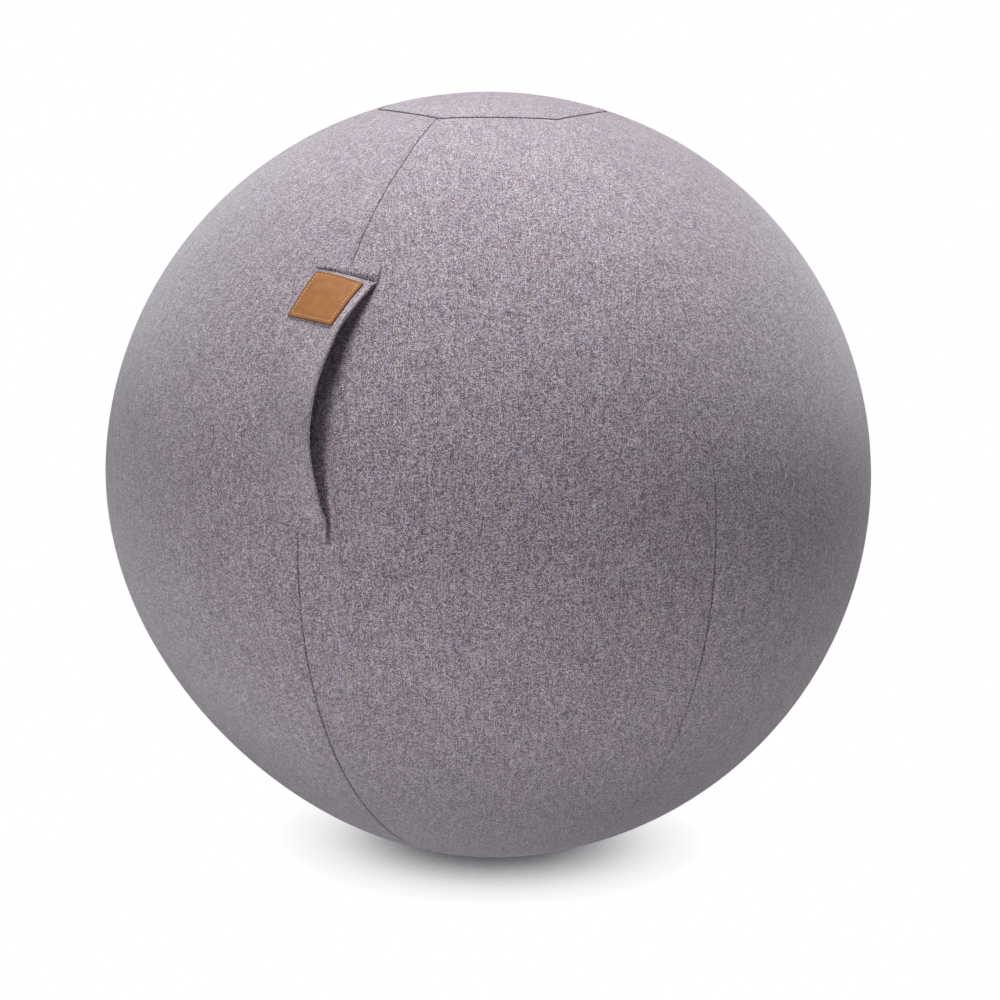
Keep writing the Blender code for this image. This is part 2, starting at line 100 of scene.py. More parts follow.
def gridPiece(name, points, flat, material, closed=False, caps=(), flip=False):
    # A grid of points as quads, with rows running down and columns to the right as seen from outside.
    # Columns may close to a tube, caps close its first (0) or last (-1) row, and flat is in metres of cloth.
    rows, columns = points.shape[:2]
    spans = columns if closed else columns - 1
    row, column = np.meshgrid(np.arange(rows - 1), np.arange(spans), indexing="ij")
    steps = [(0, 0), (1, 0), (1, 1), (0, 1)]
    if flip:
        steps.reverse()
    quads = [(row + down) * columns + (column + right) % columns for down, right in steps]
    corners = [flat[row + down, column + right] for down, right in steps]
    faces = np.stack(quads, -1).reshape(-1, 4).tolist()
    uvs = np.stack(corners, -2).reshape(-1, 2)
    for end in caps:
        ring = list(range(columns)) if end == 0 else list(range((rows - 1) * columns, rows * columns))
        ringFlat = flat[end, :columns]
        if (end == 0) == flip:
            ring.reverse()
            ringFlat = ringFlat[::-1]
        faces.append(ring)
        uvs = np.concatenate((uvs, ringFlat))
    return makeMesh(name, points, faces, material, uvs)


lozenge = {"sides": 6, "shoulder": 0.62, "shoulderSize": 0.82}


def stitchPiece(name, rows, look, material):
    # Separate stitches, each a lozenge of thread. A row holds places, and directions ahead and outwards.
    places, ahead, outwards = (np.concatenate(part) for part in zip(*rows))
    ahead, outwards = unit(ahead), unit(outwards)
    sides, shoulder, size = lozenge["sides"], lozenge["shoulder"], lozenge["shoulderSize"]
    turns = np.arange(sides) * 2 * pi / sides
    local = [(-1, 0, 0)]
    for reach, girth in ((-shoulder, size), (0, 1), (shoulder, size)):
        local += [(reach, girth * cos(turn), girth * sin(turn)) for turn in turns]
    local.append((1, 0, 0))
    local = np.array(local) * (look["length"] / 2, look["width"] / 2, look["width"] / 2)
    basis = np.stack((ahead, np.cross(outwards, ahead), outwards), 1)
    points = places[:, None, :] + np.einsum("vk,nkc->nvc", local, basis)
    one = []
    last = len(local) - 1
    for j in range(sides):
        k = (j + 1) % sides
        one.append((0, 1 + k, 1 + j))
        one.append((last - sides + j, last - sides + k, last))
        for ring in (1, 1 + sides):
            one.append((ring + j, ring + k, ring + sides + k, ring + sides + j))
    faces = [[n * len(local) + v for v in face] for n in range(len(places)) for face in one]
    return makeMesh(name, points, faces, material)


plateRim = {"resolution": 2, "sharpAngle": radians(50)}


def platePiece(name, loops, depth, bevel, place, material):
    # A flat plate of this outline, with holes and rounded rims, in the local plane of place
    curve = bpy.data.curves.new(name, "CURVE")
    curve.dimensions = "2D"
    curve.fill_mode = "BOTH"
    curve.extrude = depth / 2 - bevel
    curve.bevel_depth = bevel
    curve.offset = -bevel
    curve.bevel_resolution = plateRim["resolution"]
    for loop in loops:
        spline = curve.splines.new("POLY")
        spline.points.add(len(loop) - 1)
        spline.points.foreach_set("co", np.array([(x, y, 0, 1) for x, y in loop], np.float32).ravel())
        spline.use_cyclic_u = True
    holder = addObject(name + "_outline", curve)
    bpy.context.view_layer.update()
    mesh = bpy.data.meshes.new_from_object(holder.evaluated_get(bpy.context.evaluated_depsgraph_get()))
    bpy.data.objects.remove(holder)
    mesh.name = name
    mesh.transform(place)
    mesh.shade_smooth()
    mesh.set_sharp_from_angle(angle=plateRim["sharpAngle"])
    mesh.materials.clear()
    mesh.materials.append(material)
    return addObject(name, mesh)


def standFor(piece, node, body="ball"):
    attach(piece, body)
    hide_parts(node)


# Materials


def linearColour(code):
    channels = [int(code[i : i + 2], 16) / 255 for i in (0, 2, 4)]
    return [c / 12.92 if c <= 0.04045 else ((c + 0.055) / 1.055) ** 2.4 for c in channels] + [1]


def setInputs(tree, node, inputs):
    # In order or by name: plain values, sockets, or nodes whose first output is meant
    for key, value in inputs.items() if isinstance(inputs, dict) else enumerate(inputs):
        if isinstance(value, bpy.types.Node):
            value = value.outputs[0]
        if isinstance(value, bpy.types.NodeSocket):
            tree.links.new(value, node.inputs[key])
        else:
            node.inputs[key].default_value = value


def addNode(tree, kind, inputs=(), stops=(), **settings):
    # Stops are the places and colours of a ramp
    node = tree.nodes.new("ShaderNode" + kind)
    for name, value in settings.items():
        setattr(node, name, value)
    if stops:
        elements = node.color_ramp.elements
        while len(elements) < len(stops):
            elements.new(0.5)
        for element, (position, code) in zip(elements, stops):
            element.position = position
            element.color = linearColour(code)
    setInputs(tree, node, inputs)
    return node


def startMaterial(name):
    material = bpy.data.materials.new(name)
    material.use_nodes = True
    return material, material.node_tree


# A noise's usual reach, over which tones and gloss run from one end to the other
noiseLow, noiseMiddle, noiseHigh = 0.3, 0.5, 0.7

# Apart keeps the noise of neighbouring yarns apart, and dip is how far a yarn sinks under a crossing one
weave = {"apart": 7.31, "detail": 3.0, "roughness": 0.7, "dyeDetail": 3.0, "dip": 0.6, "bump": 0.7}


def wovenCloth(name, look):
    # Plain weave of spun yarns: each yarn's tone drifts along it, so the cloth reads as a melange
    material, tree = startMaterial(name)
    flat = addNode(tree, "UVMap", uv_map="flat")
    threads = addNode(tree, "VectorMath", {0: flat, "Scale": 1 / look["pitch"]}, operation="SCALE")
    x, y = addNode(tree, "SeparateXYZ", [threads]).outputs[:2]
    column = addNode(tree, "Math", [x], operation="FLOOR")
    row = addNode(tree, "Math", [y], operation="FLOOR")
    diagonal = addNode(tree, "Math", [column, row], operation="ADD")
    weftOver = addNode(tree, "Math", [diagonal, 2], operation="FLOORED_MODULO")

    yarns = []
    for across, along, fleck in ((column, y, look["warpFleck"]), (row, x, look["weftFleck"])):
        apart = addNode(tree, "Math", [across, weave["apart"]], operation="MULTIPLY")
        drift = addNode(tree, "Math", [along, look["pitch"] / fleck], operation="MULTIPLY")
        spun = {"Vector": addNode(tree, "CombineXYZ", [apart, drift]), "Scale": 1}
        spun.update({"Detail": weave["detail"], "Roughness": weave["roughness"]})
        yarns.append(addNode(tree, "TexNoise", spun, noise_dimensions="2D").outputs["Color"])
    yarn = addNode(tree, "Mix", {0: weftOver, 6: yarns[0], 7: yarns[1]}, data_type="RGBA").outputs[2]
    yarnTone, yarnHue = addNode(tree, "SeparateColor", [yarn]).outputs[:2]

    # Cells differ a little from fibre to fibre, and the dye drifts over some centimetres
    cell = addNode(tree, "CombineXYZ", [column, row])
    fibre = addNode(tree, "TexWhiteNoise", {"Vector": cell}, noise_dimensions="2D").outputs["Value"]
    dyed = {"Vector": flat, "Scale": 1 / look["dyeDrift"], "Detail": weave["dyeDetail"]}
    dye = addNode(tree, "TexNoise", dyed, noise_dimensions="2D")
    tone = noiseMiddle
    for part, contrast in ((yarnTone, "yarnContrast"), (fibre, "fibreContrast"), (dye, "dyeContrast")):
        off = addNode(tree, "Math", [part, noiseMiddle], operation="SUBTRACT")
        tone = addNode(tree, "Math", [off, look[contrast], tone], operation="MULTIPLY_ADD")
    off = addNode(tree, "Math", [yarnHue, noiseMiddle], operation="SUBTRACT")
    hue = addNode(tree, "Math", [off, look["hueContrast"], noiseMiddle], operation="MULTIPLY_ADD")
    colour = addNode(tree, "ValToRGB", [tone], look["tones"])
    tint = addNode(tree, "ValToRGB", [hue], look["tints"])
    mixed = addNode(tree, "Mix", {0: 1, 6: colour, 7: tint}, data_type="RGBA", blend_type="MULTIPLY")

    # Yarns are round, and dip where the other yarn crosses over them
    domes = []
    for along in (x, y):
        share = addNode(tree, "Math", [along], operation="FRACT")
        off = addNode(tree, "Math", [share, 2, -1], operation="MULTIPLY_ADD")
        square = addNode(tree, "Math", [off, off], operation="MULTIPLY")
        domes.append(addNode(tree, "Math", [1, square], operation="SUBTRACT"))
    heights = []
    for dome, crossing in (domes, domes[::-1]):
        dip = addNode(tree, "Math", [crossing, weave["dip"], 1 - weave["dip"]], operation="MULTIPLY_ADD")
        heights.append(addNode(tree, "Math", [dome, dip], operation="MULTIPLY"))
    height = addNode(tree, "Mix", {0: weftOver, 2: heights[0], 3: heights[1]}, data_type="FLOAT")
    # The colour is darkened where a yarn sinks under a crossing one: painted shade in the gaps of the weave
    gap = look["gapShade"]
    shade = addNode(tree, "Math", [height, gap, 1 - gap], operation="MULTIPLY_ADD")
    shaded = addNode(tree, "VectorMath", {0: mixed.outputs[2], "Scale": shade}, operation="SCALE")
    bump = addNode(tree, "Bump", {"Strength": weave["bump"], "Distance": look["relief"], "Height": height})
    setInputs(tree, tree.nodes["Principled BSDF"], {**look["shader"], "Base Color": shaded, "Normal": bump})
    return material


# The cover's cloth: grey-mauve melange, matt, with a soft pale nap at grazing angles.
# The yarns lie about 0.8 mm apart, and each is spun from fibres of several tones.
melangeCloth = wovenCloth("melange_upholstery_cloth", {
    "pitch": 0.0008, "warpFleck": 0.016, "weftFleck": 0.006, "dyeDrift": 0.030,
    "yarnContrast": 1.5, "fibreContrast": 0.80, "dyeContrast": 0.10, "hueContrast": 4.5,
    "gapShade": 0.35, "relief": 0.00025,
    "tones": [(0.0, "564d56"), (0.3, "857983"), (0.52, "a396a1"), (0.75, "c6bcc5"), (1.0, "e4dee4")],
    "tints": [(0.0, "e9f1ff"), (0.5, "fffcff"), (1.0, "fff0e0")],
    "shader": {
        "Roughness": 0.92, "IOR": 1.5, "Specular IOR Level": 0.12,
        "Sheen Weight": 0.58, "Sheen Roughness": 0.55, "Sheen Tint": linearColour("e6e8ee"),
    },
})

# Lining and tape are woven plain, from yarns of nearly one tone
plainWeave = {"dyeDrift": 0.05, "fibreContrast": 0.1, "dyeContrast": 0.1, "relief": 0.0001}

# Lining behind the strap's sewn ends: plain dark cotton, even in tone
liningCloth = wovenCloth("plain_lining_cloth", {
    **plainWeave, "pitch": 0.0008, "warpFleck": 0.02, "weftFleck": 0.02,
    "yarnContrast": 0.5, "hueContrast": 0.3, "gapShade": 0.3,
    "tones": [(0.0, "4a474b"), (1.0, "77737a")],
    "tints": [(0.0, "f8f8ff"), (1.0, "fffaf6")],
    "shader": {"Roughness": 0.9, "Specular IOR Level": 0.2, "Sheen Weight": 0.1},
})

# Zip tape: tight polyester weave, darker than the cover and a little glossier
zipTapeCloth = wovenCloth("woven_polyester_tape", {
    **plainWeave, "pitch": 0.0007, "warpFleck": 0.03, "weftFleck": 0.03,
    "yarnContrast": 0.4, "hueContrast": 0.2, "gapShade": 0.4,
    "tones": [(0.0, "645b64"), (1.0, "8d838d")],
    "tints": [(0.0, "fafaff"), (1.0, "fffdfa")],
    "shader": {"Roughness": 0.75, "Specular IOR Level": 0.35},
})

grainDetail = 2.0


def mottledSurface(name, look):
    # Tone drifts over the surface, and a finer grain catches the light
    material, tree = startMaterial(name)
    place = addNode(tree, "TexCoord").outputs["Object"]
    drift = {"Vector": place, "Scale": 1 / look["mottle"], "Detail": look["detail"]}
    cloud = addNode(tree, "TexNoise", drift)
    fine = addNode(tree, "TexNoise", {"Vector": place, "Scale": 1 / look["grain"], "Detail": grainDetail})
    dark, light = look["tones"]
    colour = addNode(tree, "ValToRGB", [cloud], [(noiseLow, dark), (noiseHigh, light)])
    bump = addNode(tree, "Bump", {"Strength": look["bump"], "Distance": look["relief"], "Height": fine})
    linked = {"Base Color": colour, "Normal": bump}
    if "gloss" in look:
        linked["Roughness"] = addNode(tree, "MapRange", [cloud, noiseLow, noiseHigh, *look["gloss"]])
    setInputs(tree, tree.nodes["Principled BSDF"], {**look["shader"], **linked})
    return material


# Sewing thread: two plies twisted together. Its tone turns dark and light about 900 times to the metre, as
# painted shade of the twist
threadLook = {
    "mottle": 1 / 900, "detail": 2.0, "grain": 1 / 900, "bump": 0.5, "relief": 0.00008,
    "shader": {"Roughness": 0.6, "Specular IOR Level": 0.4, "Sheen Weight": 0.2},
}
# The seam and strap threads are dark grey. Their dark tone is partly painted shade, which deepens the seams
# and the strap's sewn crease
seamThread = mottledSurface("polyester_seam_thread", {**threadLook, "tones": ("3d373d", "564e56")})
strapThread = mottledSurface("polyester_strap_thread", {**threadLook, "tones": ("3b353b", "5a525a")})
borderThread = mottledSurface("waxed_border_thread", {**threadLook, "tones": ("c4975c", "e0bd83")})

# Die-cast zinc with a tumbled nickel finish: soft reflections, slightly rougher in patches of about 3 mm
zipMetal = mottledSurface("tumbled_nickel_zinc", {
    "mottle": 1 / 350, "detail": 4.0, "grain": 0.00025, "bump": 0.2, "relief": 0.00002,
    "tones": ("a9a7a5", "c3c1be"), "gloss": (0.28, 0.42), "shader": {"Metallic": 1.0},
})

# Plastics from a smooth die, roller or mould: faint mottling of tone, and a satin gloss over a fine grain
plasticLook = {"mottle": 0.025, "detail": 4.0, "bump": 0.25}
zipNylon = mottledSurface("extruded_nylon", {
    **plasticLook, "tones": ("5f575f", "786f78"), "grain": 0.0005, "relief": 0.0000625,
    "shader": {"Roughness": 0.4, "IOR": 1.53},
})
softVinyl = mottledSurface("calendered_soft_vinyl", {
    **plasticLook, "tones": ("979aa0", "a3a6ab"), "grain": 0.0012, "relief": 0.00015,
    "shader": {"Roughness": 0.45, "IOR": 1.53},
})
valvePlastic = mottledSurface("moulded_soft_plastic", {
    **plasticLook, "tones": ("8e9197", "999ca2"), "grain": 0.0008, "relief": 0.0001,
    "shader": {"Roughness": 0.45, "IOR": 1.5},
})
plugPlastic = mottledSurface("moulded_white_plastic", {
    **plasticLook, "tones": ("dcdcd8", "e6e6e3"), "grain": 0.0008, "relief": 0.0001,
    "shader": {"Roughness": 0.4, "IOR": 1.5},
})


def tanLeather(name, look, side):
    material, tree = startMaterial(name)
    flat = addNode(tree, "UVMap", uv_map="flat")
    split = addNode(tree, "SeparateXYZ", [flat])
    edges = []
    for axis in (0, 1):
        off = addNode(tree, "Math", [split.outputs[axis], side / 2], operation="SUBTRACT")
        toMiddle = addNode(tree, "Math", [off], operation="ABSOLUTE")
        edges.append(addNode(tree, "Math", [side / 2, toMiddle], operation="SUBTRACT"))
    toEdge = addNode(tree, "Math", edges, operation="MINIMUM")
    pored = {"Vector": flat, "Scale": 1 / look["pore"]}
    pores = addNode(tree, "TexVoronoi", pored, voronoi_dimensions="2D", feature="DISTANCE_TO_EDGE")
    clouded = {"Vector": flat, "Scale": 1 / look["cloud"], "Detail": look["detail"]}
    cloud = addNode(tree, "TexNoise", clouded, noise_dimensions="2D")
    colour = addNode(tree, "ValToRGB", [cloud], look["tones"])
    worn = addNode(tree, "MapRange", [toEdge, 0, look["rim"], look["rimShade"], 1])
    shaded = addNode(tree, "VectorMath", {0: colour, "Scale": worn}, operation="SCALE")
    gloss = addNode(tree, "MapRange", [cloud, noiseLow, noiseHigh, *look["gloss"]])
    bump = addNode(tree, "Bump", {"Strength": look["bump"], "Distance": look["relief"], "Height": pores})
    linked = {"Base Color": shaded, "Roughness": gloss, "Normal": bump}
    setInputs(tree, tree.nodes["Principled BSDF"], {**look["shader"], **linked})
    return material


print("materials made")

# Ball

ball = {
    "radius": 0.325, "floorFlat": 0.045, "hexagon": 0.096, "hexagonBulge": 0.006, "gores": 6,
    "slackDepth": 0.010, "slackReach": radians(50), "slackAzimuth": radians(-44), "slackPolar": radians(133),
}
goreNames = ("front_right", "right", "back_right", "back_left", "left", "front_left")
radius = ball["radius"]
centreHeight = sqrt(radius**2 - ball["floorFlat"] ** 2)
centre = np.array((0, 0, centreHeight))
goreAngle = 2 * pi / ball["gores"]
cornerPolar = asin(ball["hexagon"] / radius)
sidePolar = atan(tan(cornerPolar) * cos(goreAngle / 2))


def directionAt(azimuth, polar):
    azimuth, polar = np.broadcast_arrays(azimuth, polar)
    return np.stack((np.sin(polar) * np.sin(azimuth), -np.sin(polar) * np.cos(azimuth), np.cos(polar)), -1)


def turnTo(x, polar):
    # How far round the ball a point lies that is this far to one side
    return np.arcsin(x / (radius * np.sin(polar)))


def coverPoint(azimuth, polar, inset):
    # A point this far inside the cover's face, with its slack low on the left and the flat it stands on
    outwards = directionAt(azimuth, polar)
    slackAxis = directionAt(ball["slackAzimuth"], ball["slackPolar"])
    angle = np.arccos(np.clip(outwards @ slackAxis, -1, 1))
    slack = ball["slackDepth"] * (1 + np.cos(pi * np.minimum(angle / ball["slackReach"], 1))) / 2
    tiny = 1e-6
    nearFloor = (centreHeight - inset) / np.maximum(-outwards[..., 2], tiny)
    distance = np.minimum(radius - slack - inset, nearFloor)
    return centre + distance[..., None] * outwards


def hexagonPolar(turn):
    # Where a side of an end panel lies, this far round from the side's middle, where it bows out most
    bulge = ball["hexagonBulge"] / radius * (1 - (2 * turn / goreAngle) ** 2)
    return np.arctan(tan(sidePolar) / np.cos(turn)) + bulge


# Zip on the back seam

zipLook = {
    "topPolar": radians(80), "length": 0.420, "channel": 0.00655, "taper": 0.009,
    "tapeInner": 0.00015, "tapeWidth": 0.014, "tapeInset": 0.0032, "tapeRows": 140, "tapeColumns": 10,
    "tail": 0.012, "beadHeight": 0.0003, "beadWidth": 0.0008, "beadEdge": 0.001,
    "coilPitch": 0.0018, "coilWire": 0.00062, "coilMiddle": 0.00135, "coilReach": 0.00125,
    "coilInset": 0.00145, "coilRise": 0.00072, "coilSteps": 9, "coilSides": 5, "stopRoom": 0.0043,
}
zipTop = zipLook["topPolar"]
zipBottom = zipTop + zipLook["length"] / radius

# Sewn edges: how the cloth rolls down into a seam, as distance from the seam and depth.
# The strap's seam is fainter just below the strap, and the next one fades towards both ends (degrees, share).

lip = {
    "distance": (0, 0.0003, 0.0006, 0.0010, 0.0017, 0.0030, 0.0055, 0.0090),
    "inset": (0.0024, 0.0016, 0.0010, 0.00055, 0.00026, 0.00012, 0.00004, 0),
    "seamDepth": (1.0, 1.0, 0.7, 0.7, 0.7, 0.7),
    "panelDepth": 1.5,
    "faintPolar": {0: (60, 86, 99, 106), 1: (17, 70, 86, 112, 127, 163)},
    "faintDepth": {0: (1, 0.66, 0.66, 1), 1: (0.12, 0.15, 0.75, 0.75, 0.25, 0.12)},
}
lipSteps = np.array(lip["distance"])

# The strap's seam wanders a little to the right between the top panel and the strap (degrees, metres)
seamSway = {"polar": (17, 22, 30, 50, 70, 88), "offset": (-0.0025, 0, 0.0035, 0.0042, 0.0020, 0)}


def swayTurn(seam, polar):
    if seam % ball["gores"]:
        return 0 * polar
    return np.interp(np.degrees(polar), seamSway["polar"], seamSway["offset"]) / (radius * np.sin(polar))


def seamDepth(seam, polar):
    seam = seam % ball["gores"]
    depth = lip["seamDepth"][seam] + 0 * polar
    if seam in lip["faintPolar"]:
        depth = depth * np.interp(np.degrees(polar), lip["faintPolar"][seam], lip["faintDepth"][seam])
    return depth


def lipInset(distance):
    return np.interp(distance, lip["distance"], lip["inset"])


def zipOpening(polar):
    # How far the cloth stands back from the back seam's plane, beside the zip
    start, end = radius * zipTop, radius * zipBottom
    taper, channel = zipLook["taper"], zipLook["channel"]
    return np.interp(radius * polar, (start - taper, start, end, end + taper), (0, channel, channel, 0))


# Gores

goreLook = {
    "rows": 250, "columns": 26, "farFromSeam": 1.0,
    "puckerDepth": 0.00022, "puckerReach": 0.007, "puckerWave": 0.011, "puckerShift": 1.7,
}


def makeGore(number):
    place = goreNames[number]
    edge = lipSteps / (radius * (pi - 2 * sidePolar))
    middle = np.linspace(edge[-1], 1 - edge[-1], goreLook["rows"])[1:-1]
    share = np.concatenate((edge, middle, 1 - edge[::-1]))[:, None]
    cornerTop = hexagonPolar(goreAngle / 2)
    seamPolar = cornerTop + share * (pi - 2 * cornerTop)

    def edgeTurns(opened):
        back = zipOpening(seamPolar) if opened else 0
        return goreAngle / 2 - turnTo(lipSteps[None, :] + back, seamPolar)

    columns = goreLook["columns"]
    left = swayTurn(number, seamPolar) - edgeTurns(place == "back_left")
    right = swayTurn(number + 1, seamPolar) + edgeTurns(place == "back_right")[:, ::-1]
    between = np.linspace(0, 1, columns + 2)[None, 1:-1]
    inner = left[:, -1:] + (right[:, :1] - left[:, -1:]) * between
    turn = np.concatenate((left, inner, right), 1)
    top = hexagonPolar(turn)
    polar = top + share * (pi - 2 * top)

    far = np.full(columns, goreLook["farFromSeam"])
    seamDistance = np.concatenate((lipSteps, far, lipSteps[::-1]))[None, :]
    depths = [seamDepth(number, seamPolar), 0 * seamPolar, seamDepth(number + 1, seamPolar)]
    counts = [len(lipSteps), columns, len(lipSteps)]
    depth = np.concatenate([np.repeat(side, count, 1) for side, count in zip(depths, counts)], 1)
    toEnd = radius * np.minimum(polar - top, pi - top - polar)
    inset = np.maximum(lipInset(seamDistance) * depth, lipInset(toEnd) * lip["panelDepth"])
    turns = 2 * pi * radius * polar / goreLook["puckerWave"] + goreLook["puckerShift"] * number
    pucker = np.exp(-((seamDistance / goreLook["puckerReach"]) ** 2)) * (0.5 - 0.5 * np.sin(turns))
    inset = inset + goreLook["puckerDepth"] * pucker

    azimuth = (number + 0.5) * goreAngle + turn
    # Each gore takes its own stretch of the pattern
    flat = np.stack((radius * turn * np.sin(polar) + number, radius * polar), -1)
    gore = gridPiece(f"cover_gore_{place}", coverPoint(azimuth, polar, inset), flat, melangeCloth)
    standFor(gore, f"gore_{place}")


# End panels

endPanelLook = {"sideSteps": 22, "rings": 22, "firstRing": 0.03}


def makeEndPanel(name, atTop):
    perSide = endPanelLook["sideSteps"]
    step = np.arange(ball["gores"] * perSide + 1)
    azimuth = step * goreAngle / perSide
    turn = (step % perSide) * goreAngle / perSide - goreAngle / 2
    edge = hexagonPolar(turn)[None, :]
    rings = np.linspace(endPanelLook["firstRing"], 1, endPanelLook["rings"])[:-1, None]
    inner = rings * (edge - lipSteps[-1] / radius)
    fromPole = np.concatenate((inner, edge - lipSteps[::-1, None] / radius))
    inset = lipInset(radius * (edge - fromPole)) * lip["panelDepth"]
    polar = fromPole if atTop else pi - fromPole
    points = coverPoint(azimuth[None, :], polar, inset)[:, :-1]
    flat = radius * fromPole[..., None] * np.stack((np.sin(azimuth), -np.cos(azimuth)), -1)[None]
    panel = gridPiece(f"cover_{name}", points, flat, melangeCloth, closed=True, caps=(0,), flip=not atTop)
    standFor(panel, name)


for goreNumber in range(ball["gores"]):
    makeGore(goreNumber)
makeEndPanel("top_panel", True)
makeEndPanel("base_panel", False)
print("cover made")

# Seam stitches, which show as short dark rungs between the two lips of a seam.
# Those round the end panels are longer and lie nearer the surface.

seamStitch = {"pitch": 0.0034, "length": 0.0023, "width": 0.00062, "inset": 0.00085, "steps": 400}
panelStitch = {"pitch": 0.0036, "length": 0.0036, "width": 0.0011, "inset": 0.0004, "steps": 100}


def stitchRow(azimuth, polar, look):
    line = coverPoint(azimuth, polar, look["inset"])
    along = lengthAlong(line)
    stops = np.arange(look["pitch"] / 2, along[-1], look["pitch"])
    point = valuesAt(stops, along, line)
    return point, valuesAt(stops, along, np.gradient(line, axis=0)), point - centre


def goreRows():
    for seam in range(ball["gores"]):
        ends = [(cornerPolar, pi - cornerPolar)]
        if seam == ball["gores"] // 2:
            margin = zipLook["taper"] / radius
            ends = [(cornerPolar, zipTop - margin), (zipBottom + margin, pi - cornerPolar)]
        for upper, lower in ends:
            polar = np.linspace(upper, lower, seamStitch["steps"])
            yield stitchRow(seam * goreAngle + swayTurn(seam, polar), polar, seamStitch)


def panelRows():
    turn = np.linspace(-goreAngle / 2, goreAngle / 2, panelStitch["steps"])
    for side in range(ball["gores"]):
        for polar in (hexagonPolar(turn), pi - hexagonPolar(turn)):
            yield stitchRow((side + 0.5) * goreAngle + turn, polar, panelStitch)


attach(stitchPiece("gore_seam_stitches", goreRows(), seamStitch, seamThread), "ball")
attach(stitchPiece("panel_seam_stitches", panelRows(), panelStitch, seamThread), "ball")
print("seam stitches made")

# Hand strap: two plies of the cover's cloth, folded in at the sides and sewn on at both ends.
# The fold is a side's outline, as distance in from the side and share of half the thickness.
# The end round is how the turned-in ends thin out, as distance from the end and share of the thickness.

strap = {
    "width": 0.057, "thickness": 0.0024, "fitGap": 0.0003, "crown": 0.0002, "tab": 0.009,
    "topPolar": radians(52.45), "topOffset": 0.0045, "topRise": radians(34.9),
    "topReach": 0.043, "topSway": 0.0065,
    "bottomPolar": radians(86.7), "bottomRise": radians(21.5), "bottomReach": 0.0854, "bottomSway": 0.0146,
    "lean": radians(20.1), "lowerLean": radians(5.4), "skew": radians(13), "bend": 0.006, "hugLength": 0.030,
    "stiffStart": 0.004, "stiffEnd": 0.052, "stiffness": 0.75,
    "cornerReach": 0.020, "topCornerLift": 0.0022, "bottomCornerLift": 0.0052, "bottomCornerReach": 0.030,
    "topCrease": -0.0020, "topCreaseSkew": radians(5.5), "topCreaseDepth": 0.0012, "creaseWidth": 0.0012,
    "topFold": 0.0005, "foldRun": 0.0014, "hemInset": 0.0022, "hemDepth": 0.0006,
    "fold": ((0.0010, 0), (0.0003, 0.12), (0.00002, 0.5), (0.00025, 0.86), (0.0009, 1)),
    "foldEnd": 0.003, "endRound": ((0, 0.0003, 0.0009), (0.45, 0.8, 1)),
    "columns": 18, "step": 0.0015, "fineStep": 0.0004, "fineReach": 0.0055, "clothStart": 0.31,
    "liftAxis": (0, -0.93058, 0.36609), "bendFrom": 0.3145, "bendTo": 0.331,
}
# Points of the bow, and of each sewn end, which is drawn out this far in radians
strapCurve = {"freePoints": 240, "sewnPoints": 60, "sewnAngle": 0.2, "firstShare": 0.02}


def strapCentreLine():
    # Points from the ball's centre, their distance along the strap from where it lifts, and its free length
    reach = radius + strap["fitGap"] + strap["thickness"] / 2

    def onBall(polar, offset):
        return reach * directionAt(0, polar) + toRight * offset

    def leaving(polar, rise, downwards):
        along = np.array((0, -cos(polar), -sin(polar))) * (1 if downwards else -1)
        return along * cos(rise) + directionAt(0, polar) * sin(rise)

    top, bottom = onBall(strap["topPolar"], strap["topOffset"]), onBall(strap["bottomPolar"], 0)
    topHandle = top + leaving(strap["topPolar"], strap["topRise"], True) * strap["topReach"]
    topHandle = topHandle - toRight * strap["topSway"]
    bottomHandle = bottom + leaving(strap["bottomPolar"], strap["bottomRise"], False) * strap["bottomReach"]
    bottomHandle = bottomHandle - toRight * strap["bottomSway"]
    t = np.linspace(0, 1, strapCurve["freePoints"])[:, None]
    rest = 1 - t
    free = rest**3 * top + 3 * rest**2 * t * topHandle + 3 * rest * t**2 * bottomHandle + t**3 * bottom
    steps = np.linspace(strapCurve["firstShare"], 1, strapCurve["sewnPoints"]) * strapCurve["sewnAngle"]
    above = onBall(strap["topPolar"] - steps[::-1], strap["topOffset"])
    below = onBall(strap["bottomPolar"] + steps, 0)
    points = np.concatenate((above, free, below))
    along = lengthAlong(points)
    lift, land = along[len(above)], along[len(above) + len(free) - 1]
    along, freeLength = along - lift, land - lift
    # The leather patch is stiff, and keeps the strap nearly straight beneath it
    start, end = (valuesAt(strap[key], along, points) for key in ("stiffStart", "stiffEnd"))
    share = (along - strap["stiffStart"]) / (strap["stiffEnd"] - strap["stiffStart"])
    straight = start + share[:, None] * (end - start)
    stiff = np.where((share > 0) & (share < 1), strap["stiffness"], 0)[:, None]
    return points + stiff * (straight - points), along, freeLength


strapPoints, strapAlong, strapFree = strapCentreLine()


